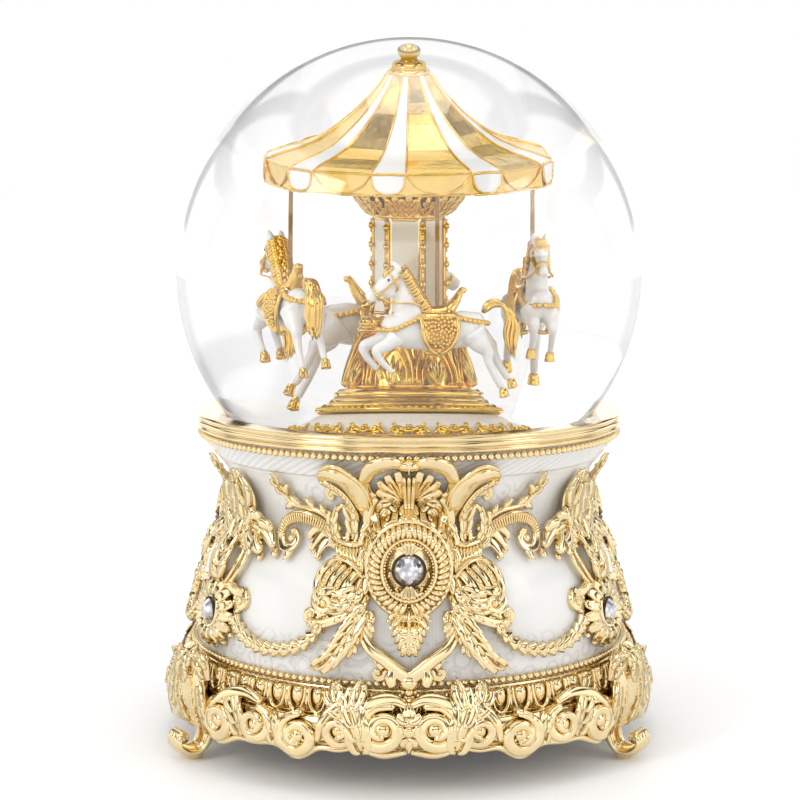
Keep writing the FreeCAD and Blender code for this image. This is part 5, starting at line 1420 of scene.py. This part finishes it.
def horse_body(bm):
    """The horse's body, facing +X, belly near zero: trunk, neck, head, ears and four legs."""
    limb(bm, [(-8.6, 5.4, 1.0), (-7.2, 5.6, 2.5), (-4.8, 5.1, 3.2), (-1.0, 4.6, 3.1), (2.6, 4.6, 3.2), (6.0, 5.0, 3.2),
              (8.6, 5.2, 2.4), (10.0, 5.0, 1.2)], around=20, along=34, flat=0.84)
    limb(bm, [(4.6, 5.6, 3.2), (5.0, 8.6, 2.8), (5.4, 11.4, 2.15), (6.4, 13.8, 1.6), (7.2, 14.8, 1.0)], along=24,
         flat=0.66)
    limb(bm, [(6.3, 14.2, 1.1), (7.6, 14.0, 1.8), (9.2, 12.9, 1.55), (10.8, 11.6, 1.15), (12.0, 10.8, 1.12),
              (12.7, 10.3, 0.95)], along=26, flat=0.72)
    limb(bm, [(7.4, 13.2, 1.4), (8.6, 11.9, 1.4), (9.8, 11.3, 0.8)], along=12, flat=0.62)
    for side in (-1, 1):
        limb(bm, [(7.0, 14.8, 0.7, side * 0.6), (7.4, 16.0, 0.62, side * 0.95), (8.3, 17.2, 0.14, side * 1.0)],
             along=10)
        limb(bm, [(9.8, 13.4, 0.2, side * 0.8), (9.0, 13.9, 0.36, side * 1.0), (8.3, 14.2, 0.2, side * 0.85)], along=8)
        ball(bm, Vector((12.3, side * 0.5, 10.5)), 0.42, detail=8)
    # Fore legs: both folded at the knee, one ahead of the other.
    limb(bm, [(7.6, 4.4, 2.1, -1.4), (10.2, 2.9, 1.35, -1.7), (12.7, 2.2, 0.95, -1.7), (12.5, 0.6, 0.72, -1.7),
              (11.0, -1.2, 0.6, -1.7), (10.0, -2.2, 0.6, -1.7)], along=28)
    limb(bm, [(7.4, 4.0, 2.0, 1.4), (9.4, 2.4, 1.25, 1.7), (11.4, 1.4, 0.9, 1.7), (10.6, -0.4, 0.66, 1.7),
              (9.2, -1.8, 0.58, 1.7), (8.3, -2.8, 0.6, 1.7)], along=28)
    # Hind legs reach back and down.
    limb(bm, [(-5.8, 5.2, 2.9, -1.1), (-7.8, 3.6, 2.0, -1.7), (-9.8, 2.2, 1.2, -1.8), (-10.4, 0.8, 0.85, -1.8),
              (-11.6, -1.6, 0.68, -1.8), (-12.8, -3.4, 0.62, -1.8), (-13.3, -4.0, 0.7, -1.8)], along=32)
    limb(bm, [(-5.6, 5.0, 2.9, 1.1), (-7.0, 2.9, 1.9, 1.7), (-8.6, 1.0, 1.15, 1.8), (-8.8, -0.4, 0.82, 1.8),
              (-9.8, -2.8, 0.68, 1.8), (-11.0, -5.0, 0.62, 1.8), (-11.4, -5.8, 0.7, 1.8)], along=32)


def melted(bm, name, voxel, rounds):
    """One closed skin over the overlapping forms of a shape, softened a little."""
    mesh = bpy.data.meshes.new(name)
    bm.to_mesh(mesh)
    bm.free()
    mesh.transform(Matrix.Scale(MM, 4))
    thing = bpy.data.objects.new(name, mesh)
    bpy.context.scene.collection.objects.link(thing)
    remesh = thing.modifiers.new("skin", "REMESH")
    remesh.mode = "VOXEL"
    remesh.voxel_size = voxel * MM
    evaluated = thing.evaluated_get(bpy.context.evaluated_depsgraph_get())
    skin = bmesh.new()
    skin.from_mesh(evaluated.to_mesh())
    evaluated.to_mesh_clear()
    bpy.data.objects.remove(thing)
    bpy.data.meshes.remove(mesh)
    skin.transform(Matrix.Scale(1 / MM, 4))
    for _ in range(rounds):
        bmesh.ops.smooth_vert(skin, verts=skin.verts, factor=0.5, use_axis_x=True, use_axis_y=True, use_axis_z=True)
    return skin


def lock(bm, points, width, thick, side):
    """A lock of hair: a grooved, wavy strand."""
    strip(bm, points, [width * 0.6, width, width * 0.8, width * 0.15], [thick, thick, thick * 0.6], channel=0.25,
          sink=thick, out=Vector((0, side, 0.15)), along=14, around=6)


def flank(z, least=0.05):
    """How far the trunk's side stands from the middle at a height."""
    return 2.9 * math.sqrt(max(1 - ((z - 4.4) / 4.2) ** 2, least)) * 0.97


def horse_trim(bm):
    """Mane, tail, hooves, bridle, saddle and straps."""
    random.seed(7)
    # Mane: a braid of short curls along the neck's crest.
    for side in (-1, 1):
        for index in range(15):
            share = index / 14
            root = Vector((6.4 - 4.2 * share, side * 0.2, 15.5 - 6.7 * share))
            sway, drop = random.uniform(-0.2, 0.2), random.uniform(0.8, 1.2)
            lock(bm, [root, root + Vector((-0.7, side * 0.6, 0.1)),
                      root + Vector((-0.5 + sway, side * 1.25, -0.5 * drop)),
                      root + Vector((0.2 + sway, side * 1.45, -1.0 * drop)),
                      root + Vector((0.9 + sway, side * 1.35, -1.0 * drop))], 0.42, 0.5, side)
    for index in range(14):
        share = index / 13
        root = Vector((6.0 - 4.1 * share, 0, 15.8 - 6.8 * share))
        ball(bm, root + Vector((-0.4 + random.uniform(-0.2, 0.2), random.uniform(-0.5, 0.5), 0)), 0.52, detail=8)
    for index in range(5):
        sway = (index - 2) * 0.3
        lock(bm, [Vector((7.0, 0.3 * sway, 15.8)), Vector((8.2, sway, 15.8)), Vector((9.2, 1.1 * sway, 15.0)),
                  Vector((9.9, 1.3 * sway, 14.0))], 0.3, 0.4, 1 if sway >= 0 else -1)
    # Tail: a bush of locks that arches out and falls.
    for index in range(34):
        turn = 2 * math.pi * index / 34
        ray = random.uniform(0.4, 1.0)
        off = Vector((0.9 * ray * math.cos(turn), 1.15 * ray * math.sin(turn), 0.7 * ray * math.cos(turn)))
        end = random.uniform(-0.8, 1.8)
        lock(bm, [Vector((-8.0, 0, 7.8)) + off * 0.3, Vector((-9.6, 0, 9.4)) + off * 0.7, Vector((-11.9, 0, 9.0)) + off,
                  Vector((-13.4, 0, 6.2)) + off * 1.3, Vector((-13.0, 0, 3.4)) + off * 1.4,
                  Vector((-13.4, 0, end + 0.4)) + off * 0.9], 0.38, 0.45, math.copysign(1, off.y))
    # Hooves.
    for x, z, y, lean in ((9.6, -2.8, -1.7, -0.5), (7.9, -3.4, 1.7, -0.4), (-13.8, -4.6, -1.8, -0.5),
                          (-11.8, -6.4, 1.8, -0.4)):
        limb(bm, [(x + 0.35, z + 0.9, 0.62, y), (x, z, 0.82, y), (x + lean * 0.5, z - 0.8, 0.95, y),
                  (x + lean * 0.6, z - 1.0, 0.5, y)], along=10, around=12)
    for side in (-1, 1):
        for line in ([Vector((3.0, side * 2.4, 7.4)), Vector((6.2, side * 2.9, 6.0)), Vector((8.6, side * 2.4, 5.0)),
                       Vector((10.5, side * 0.5, 5.1))],
                      [Vector((-2.8, side * 2.3, 7.2)), Vector((-5.2, side * 2.5, 6.6)),
                       Vector((-7.4, side * 1.9, 6.2)),
                       Vector((-8.9, side * 0.4, 6.0))]):
            beads(bm, line, 0.5, 0.85)
    # Saddle: a dished half-moon on each flank with a rolled edge, under a seat with a tall curled cantle.
    for side in (-1, 1):
        def flap(t, s, face):
            z = 8.3 - 7.4 * t
            half = 3.3 * math.sqrt(max(1 - max(t - 0.12, 0.0) ** 2 / 0.78, 0.0))
            return Vector((0.2 + s * half, side * (flank(z, 0.0) + 0.45 + 0.35 * face), z))

        form(bm, flap, 24, 18)
        edge = []
        for index in range(13):
            t = index / 12
            angle = math.pi * t
            x, z = 0.2 + 3.35 * math.cos(angle), 7.6 - 6.8 * math.sin(angle) ** 0.8
            edge.append(Vector((x, side * (flank(z) + 0.7), z)))
        strip(bm, edge, 0.38, 0.4, sink=0.3, out=Vector((0, side, 0)), along=36, around=8)
        for index in range(70):
            turn = index * 2.4
            reach = 0.36 * math.sqrt(index)
            x, z = 0.2 + reach * math.cos(turn), 4.6 + 1.1 * reach * math.sin(turn)
            if z < 7.6 and math.hypot(x - 0.2, (z - 7.4) * 0.5) < 2.9:
                ball(bm, Vector((x, side * (flank(z) + 0.95), z)), 0.36, detail=6)
        # Breast strap, crupper strap and girth tassel.
        strip(bm, [Vector((3.0, side * 2.2, 7.6)), Vector((6.2, side * 2.7, 6.0)), Vector((8.6, side * 2.2, 5.0)),
                   Vector((10.3, side * 0.6, 5.2))], 0.42, 0.3, sink=0.3, out=Vector((0.2, side, 0)), lobes=9,
              lobe_depth=0.35, along=40, around=8)
        strip(bm, [Vector((-2.8, side * 2.1, 7.4)), Vector((-5.2, side * 2.3, 6.7)), Vector((-7.2, side * 1.7, 6.4)),
                   Vector((-8.4, side * 0.4, 6.2))], 0.42, 0.3, sink=0.3, out=Vector((-0.2, side, 0)), lobes=9,
              lobe_depth=0.35, along=40, around=8)
        strip(bm, [Vector((0.2, side * 2.9, 2.0)), Vector((0.2, side * 2.2, 0.6)), Vector((0.2, side * 0.6, 0.7))], 0.4,
              0.4, out=Vector((0, side, -0.3)), along=14, around=8)
        # Bridle: cheek strap, nose band, brow band, bit and rein.
        strip(bm, [Vector((6.8, side * 1.1, 14.6)), Vector((8.6, side * 1.35, 12.8)), Vector((10.9, side * 1.0, 11.0))],
              0.18, 0.28, out=Vector((0, side, 0)), along=14, around=6)
        strip(bm, [Vector((11.6, 0.0, 12.5)), Vector((11.4, side * 0.95, 11.6)), Vector((10.7, side * 0.85, 10.5)),
                   Vector((10.3, 0.0, 10.2))], 0.24, 0.3, sink=0.25, out=Vector((0, side, 0)), along=14, around=6)
        strip(bm, [Vector((9.0, 0.0, 15.2)), Vector((8.4, side * 1.2, 14.4)), Vector((7.4, side * 1.3, 12.6)),
                   Vector((7.6, 0.0, 11.2))], 0.2, 0.28, sink=0.25, out=Vector((0, side, 0)), along=14, around=6)
        strip(bm, [Vector((10.8, side * 1.0, 10.9)), Vector((8.6, side * 2.1, 9.8)), Vector((4.6, side * 2.2, 9.6)),
                   Vector((2.6, side * 1.4, 8.8))], 0.18, 0.25, out=Vector((0, side, 0)), along=20, around=6)
        ball(bm, Vector((10.9, side * 1.05, 11.0)), 0.38, detail=8)
    limb(bm, [(2.8, 7.8, 1.4), (1.2, 7.5, 1.7), (-0.8, 7.6, 1.7), (-2.2, 8.4, 1.5)], along=16, flat=1.15)
    limb(bm, [(-1.8, 8.2, 1.2), (-3.0, 9.6, 0.9), (-3.9, 11.2, 0.62), (-4.6, 11.9, 0.55), (-4.9, 11.2, 0.4)], along=18,
         flat=1.5)
    limb(bm, [(2.6, 8.2, 1.0), (3.4, 9.4, 0.7), (3.6, 10.2, 0.45)], along=12, flat=1.4)


def face_details(bm):
    """Dark eyes."""
    for side in (-1, 1):
        ball(bm, Vector((9.0, side * 1.22, 13.75)), 0.24, detail=8)


def build_horses():
    """Four horses from one model, each moved to its pole and facing clockwise seen from above."""
    skin_shape = bmesh.new()
    horse_body(skin_shape)
    skin = melted(skin_shape, "horse_skin", 0.2, 5)
    trim = bmesh.new()
    horse_trim(trim)
    eyes = bmesh.new()
    face_details(eyes)
    for name, (azimuth, lift) in HORSE_PLACES.items():
        place = (Matrix.Rotation(math.radians(azimuth), 4,
                                 "Z") @ Matrix.Translation((0, -HORSE_CIRCLE, BELLY_HEIGHT + lift))
                 @ Matrix.Rotation(math.pi, 4, "Z"))
        for part, shape, material, slot, nodes in (("body", skin, "horse_white", "horse_enamel", ["horse_" + name]),
                                                   ("trim", trim, "gold_trim", "gold_plate", []),
                                                   ("eyes", eyes, "bezel_dark", "horse_enamel", [])):
            copy = shape.copy()
            copy.transform(place)
            piece("horse_" + part + "_" + name, copy, "carousel", slot, finish(material), replaces=nodes)
    skin.free()
    trim.free()
    eyes.free()


# ---------------------------------------------------------------------------------------------- stage

def lamp(name, size, energy, place):
    """A softbox that faces the carousel."""
    aim = Vector((0, 0, 0.08))
    data = bpy.data.lights.new(name, "AREA")
    data.shape = "RECTANGLE"
    data.size, data.size_y = size
    data.energy = energy
    thing = bpy.data.objects.new(name, data)
    bpy.context.scene.collection.objects.link(thing)
    thing.location = place
    thing.rotation_euler = (aim - Vector(place)).to_track_quat("-Z", "Y").to_euler()


def build_world(props):
    """A pale studio: white all round, with dark panels high up that give the gold something to reflect."""
    world = bpy.data.worlds.new("studio")
    bpy.context.scene.world = world
    world.use_nodes = True
    nodes = Nodes(world.node_tree)
    x, y, z = nodes.split(nodes.node("ShaderNodeTexCoord", "Generated"))

    def masked(value, low, high, blur=0.05):
        """1 between low and high, and 0 outside them."""
        return nodes.stepped(value, low, low + blur) * (1.0 - nodes.stepped(value, high, high + blur))

    def either(first, second):
        return first.maths("MAXIMUM", first, second)

    sideways = x.alone("ABSOLUTE")
    upper = masked(z, 0.02, 0.9)
    # What metal reflects: dark walls with bright gaps between them.
    dark = either(masked(z, 0.27, 0.40), masked(z, 0.72, 0.84))
    dark = either(dark, masked(sideways, 0.42, 0.55) * upper)
    dark = either(dark, masked(sideways, 0.84, 0.91) * upper)
    reflected = nodes.mixed(dark, rgb(1.3, 1.3, 1.3), rgb(0.03, 0.016, 0.008))
    # What shows through the globe: white, and pale grey where its rim bends the view far aside.
    white = rgb(1.0, 1.0, 1.0)
    seen = nodes.mixed(masked(y, 0.10, 0.64, 0.10), white, rgb(0.70, 0.70, 0.73))
    refracted = nodes.node("ShaderNodeLightPath", "Transmission Depth")
    glossy = Value(nodes, refracted.socket.node.outputs["Glossy Depth"])
    seen = nodes.mixed(refracted.maths("MINIMUM", refracted, 1.0), white, seen)
    colour = nodes.mixed(glossy.maths("MINIMUM", glossy, 1.0), seen, reflected)
    background = world.node_tree.nodes["Background"]
    nodes.join(colour, background.inputs["Color"])
    nodes.join(props.world_strength, background.inputs["Strength"])


def build_floor():
    """A pale floor that glows: painted light, faint near the carousel and full white far away, where it melts into the
    white background.
    """
    bm = bmesh.new()
    bmesh.ops.create_grid(bm, x_segments=24, y_segments=24, size=6.0)
    mesh = bpy.data.meshes.new("floor")
    bm.to_mesh(mesh)
    bm.free()
    floor = bpy.data.objects.new("floor", mesh)
    bpy.context.scene.collection.objects.link(floor)
    shader = Shader("pale_floor_painted_glow", Roughness=0.6, Emission_Strength=1.0)
    x, y, _ = shader.split(shader.place())
    # Painted light: the floor's glow rises with distance from the carousel while its own colour darkens under it.
    far = shader.stepped((x * x + y * y) ** 0.5, 0.13, 0.6)
    shader.feed("Base Color", shader.mixed(far, rgb(0.9, 0.9, 0.9), rgb(0.1, 0.1, 0.1)))
    shader.feed("Emission Color", shader.mixed(far, rgb(0.05, 0.05, 0.05), rgb(1.0, 1.0, 1.0)))
    mesh.materials.append(shader.material)


def build_camera(props):
    data = bpy.data.cameras.new("camera")
    data.sensor_width = 36.0
    data.lens = props.focal_length
    data.shift_x = -0.01125
    data.clip_start = 0.01
    data.clip_end = 50.0
    camera = bpy.data.objects.new("camera", data)
    bpy.context.scene.collection.objects.link(camera)
    camera.location = (0.0, -props.camera_distance, props.camera_height)
    camera.rotation_euler = (math.radians(90.0) - props.camera_pitch, 0.0, 0.0)
    bpy.context.scene.camera = camera


def build_stage(props):
    build_world(props)
    build_floor()
    build_camera(props)
    lamp("key_light", (0.3, 0.45), props.key_power, (-0.65, -0.55, 0.6))
    lamp("fill_light", (0.22, 0.5), props.fill_power, (0.75, -0.35, 0.45))
    lamp("top_light", (0.4, 0.4), props.top_power, (0.0, 0.1, 0.9))
    bpy.context.scene.view_settings.view_transform = "Standard"


# ---------------------------------------------------------------------------------------------- add-on

def colour_setting(name, description, default):
    return bpy.props.FloatVectorProperty(name=name, description=description, default=default, size=3, min=0.0,
                                         max=1.0, subtype="COLOR")


def length_setting(name, description, default):
    return bpy.props.FloatProperty(name=name, description=description, default=default, min=0.0, precision=5,
                                   unit="LENGTH")


def count_setting(name, description, default):
    return bpy.props.IntProperty(name=name, description=description, default=default, min=3)


class MusicBoxSettings(bpy.types.PropertyGroup):
    gold_colour: colour_setting("Base gold", "Plating of the rim, reliefs, skirt and feet", (0.95, 0.77, 0.45))
    inner_gold_colour: colour_setting("Carousel gold", "Plating inside the globe", (0.93, 0.62, 0.15))
    roof_gold_colour: colour_setting("Roof gold", "Hammered plating of the tent roof", (0.95, 0.66, 0.21))
    pole_colour: colour_setting("Pole gold", "Dark plating of the horses' poles", (0.34, 0.19, 0.055))
    enamel_colour: colour_setting("Enamel", "Enamel of the bell", (0.80, 0.79, 0.765))
    horse_colour: colour_setting("Horse enamel", "Enamel of the four horses", (0.86, 0.845, 0.81))
    housing_wall: length_setting("Housing wall", "Thickness of the bell's wall", 0.003)
    glass_wall: length_setting("Glass wall", "Thickness of the globe's glass", 0.002)
    rim_bead_diameter: length_setting("Rim beads", "Diameter of the beads under the rim", 0.00144)
    rim_bead_count: count_setting("Rim bead count", "Beads in the string under the rim", 190)
    lower_bead_diameter: length_setting("Skirt beads", "Diameter of the beads above the skirt", 0.00152)
    lower_bead_count: count_setting("Skirt bead count", "Beads in the string above the skirt", 186)
    cartouche_stone: length_setting("Cartouche stone", "Diameter of each cartouche's stone", 0.0062)
    rosette_stone: length_setting("Rosette stone", "Height of each rosette's oval stone", 0.0055)
    pole_diameter: length_setting("Pole", "Diameter of each horse's pole", 0.00075)
    focal_length: bpy.props.FloatProperty(name="Focal length", description="Camera lens, in millimetres",
                                          default=87.58, min=20.0, max=300.0)
    camera_distance: bpy.props.FloatProperty(name="Camera distance", description="From the globe's axis",
                                             default=0.42, unit="LENGTH")
    camera_height: bpy.props.FloatProperty(name="Camera height", description="Above the table", default=0.1238,
                                           unit="LENGTH")
    camera_pitch: bpy.props.FloatProperty(name="Camera pitch", description="How far the camera looks down",
                                          default=math.radians(7.03), subtype="ANGLE")
    world_strength: bpy.props.FloatProperty(name="Room brightness", description="Strength of the studio's walls",
                                            default=1.0, min=0.0)
    key_power: bpy.props.FloatProperty(name="Key light", description="Power of the left softbox", default=1.8,
                                       unit="POWER")
    fill_power: bpy.props.FloatProperty(name="Fill light", description="Power of the right softbox", default=0.8,
                                        unit="POWER")
    top_power: bpy.props.FloatProperty(name="Top light", description="Power of the overhead softbox", default=1.0,
                                       unit="POWER")


class MUSICBOX_OT_materials(bpy.types.Operator):
    """Makes every finish and dresses the frame's own pieces"""
    bl_idname = "musicbox.materials"
    bl_label = "Finishes"

    def execute(self, context):
        make_materials(context.scene.music_box)
        dress_frame()
        return {"FINISHED"}


class MUSICBOX_OT_housing(bpy.types.Operator):
    """Makes the enamelled bell and its gold rim"""
    bl_idname = "musicbox.housing"
    bl_label = "Housing"

    def execute(self, context):
        build_housing(context.scene.music_box)
        build_rim()
        return {"FINISHED"}


class MUSICBOX_OT_beads(bpy.types.Operator):
    """Makes the two strings of beads round the bell"""
    bl_idname = "musicbox.beads"
    bl_label = "Bead strings"

    def execute(self, context):
        build_beads(context.scene.music_box)
        return {"FINISHED"}


class MUSICBOX_OT_skirt(bpy.types.Operator):
    """Makes the moulded skirt with its eggs and darts"""
    bl_idname = "musicbox.skirt"
    bl_label = "Skirt"

    def execute(self, context):
        build_skirt()
        return {"FINISHED"}


class MUSICBOX_OT_cartouches(bpy.types.Operator):
    """Makes the three relief cartouches"""
    bl_idname = "musicbox.cartouches"
    bl_label = "Cartouches"

    def execute(self, context):
        build_cartouches()
        return {"FINISHED"}


class MUSICBOX_OT_gems(bpy.types.Operator):
    """Makes the six stones and their bezels"""
    bl_idname = "musicbox.gems"
    bl_label = "Stones"

    def execute(self, context):
        build_gems(context.scene.music_box)
        return {"FINISHED"}


class MUSICBOX_OT_rosettes(bpy.types.Operator):
    """Makes the three flowers and the leaves above them"""
    bl_idname = "musicbox.rosettes"
    bl_label = "Rosettes"

    def execute(self, context):
        build_rosettes()
        return {"FINISHED"}


class MUSICBOX_OT_garlands(bpy.types.Operator):
    """Makes the hanging garlands between the reliefs"""
    bl_idname = "musicbox.garlands"
    bl_label = "Garlands"

    def execute(self, context):
        build_garlands()
        return {"FINISHED"}


class MUSICBOX_OT_aprons(bpy.types.Operator):
    """Makes the scroll aprons under the skirt"""
    bl_idname = "musicbox.aprons"
    bl_label = "Aprons"

    def execute(self, context):
        build_aprons()
        return {"FINISHED"}


class MUSICBOX_OT_feet(bpy.types.Operator):
    """Makes the three scroll feet"""
    bl_idname = "musicbox.feet"
    bl_label = "Feet"

    def execute(self, context):
        build_feet()
        return {"FINISHED"}


class MUSICBOX_OT_globe(bpy.types.Operator):
    """Makes the glass globe and the water in it"""
    bl_idname = "musicbox.globe"
    bl_label = "Globe"

    def execute(self, context):
        build_globe(context.scene.music_box)
        return {"FINISHED"}


class MUSICBOX_OT_stand(bpy.types.Operator):
    """Makes the white mound inside the globe and its openwork ring"""
    bl_idname = "musicbox.stand"
    bl_label = "Stand"

    def execute(self, context):
        build_stand()
        return {"FINISHED"}


class MUSICBOX_OT_turntable(bpy.types.Operator):
    """Makes the turntable, the leaf drum and the ring of balls"""
    bl_idname = "musicbox.turntable"
    bl_label = "Turntable"

    def execute(self, context):
        build_turntable()
        build_leaf_drum()
        build_ball_ring()
        return {"FINISHED"}


class MUSICBOX_OT_column(bpy.types.Operator):
    """Makes the column's beading and its leaf capital"""
    bl_idname = "musicbox.column"
    bl_label = "Column"

    def execute(self, context):
        build_column()
        build_capital()
        return {"FINISHED"}


class MUSICBOX_OT_canopy(bpy.types.Operator):
    """Makes the tent roof, its trim and its finial"""
    bl_idname = "musicbox.canopy"
    bl_label = "Canopy"

    def execute(self, context):
        build_canopy()
        build_finial()
        return {"FINISHED"}


class MUSICBOX_OT_poles(bpy.types.Operator):
    """Makes the four poles that the horses ride on"""
    bl_idname = "musicbox.poles"
    bl_label = "Poles"

    def execute(self, context):
        build_poles(context.scene.music_box)
        return {"FINISHED"}


class MUSICBOX_OT_horses(bpy.types.Operator):
    """Makes the four horses with their saddles and manes"""
    bl_idname = "musicbox.horses"
    bl_label = "Horses"

    def execute(self, context):
        build_horses()
        return {"FINISHED"}


class MUSICBOX_OT_stage(bpy.types.Operator):
    """Makes the studio, the floor, the lights and the camera"""
    bl_idname = "musicbox.stage"
    bl_label = "Stage"

    def execute(self, context):
        build_stage(context.scene.music_box)
        return {"FINISHED"}


OPERATORS = [
    MUSICBOX_OT_materials, MUSICBOX_OT_housing, MUSICBOX_OT_beads, MUSICBOX_OT_skirt, MUSICBOX_OT_cartouches,
    MUSICBOX_OT_gems, MUSICBOX_OT_rosettes, MUSICBOX_OT_garlands, MUSICBOX_OT_aprons, MUSICBOX_OT_feet,
    MUSICBOX_OT_globe, MUSICBOX_OT_stand, MUSICBOX_OT_turntable, MUSICBOX_OT_column, MUSICBOX_OT_canopy,
    MUSICBOX_OT_poles, MUSICBOX_OT_horses, MUSICBOX_OT_stage,
]


class MUSICBOX_PT_panel(bpy.types.Panel):
    """Lists the steps that build the music box"""
    bl_label = "Carousel Music Box"
    bl_idname = "MUSICBOX_PT_panel"
    bl_space_type = "VIEW_3D"
    bl_region_type = "UI"
    bl_category = "Music Box"

    def draw(self, context):
        for name in MusicBoxSettings.__annotations__:
            self.layout.prop(context.scene.music_box, name)
        for step in OPERATORS:
            self.layout.operator(step.bl_idname)


def register():
    bpy.utils.register_class(MusicBoxSettings)
    bpy.types.Scene.music_box = bpy.props.PointerProperty(type=MusicBoxSettings)
    for step in OPERATORS:
        bpy.utils.register_class(step)
    bpy.utils.register_class(MUSICBOX_PT_panel)


def unregister():
    bpy.utils.unregister_class(MUSICBOX_PT_panel)
    for step in reversed(OPERATORS):
        bpy.utils.unregister_class(step)
    del bpy.types.Scene.music_box
    bpy.utils.unregister_class(MusicBoxSettings)


def main():
    register()
    for step in OPERATORS:
        group, name = step.bl_idname.split(".")
        getattr(getattr(bpy.ops, group), name)()


if __name__ == "__main__":
    main()
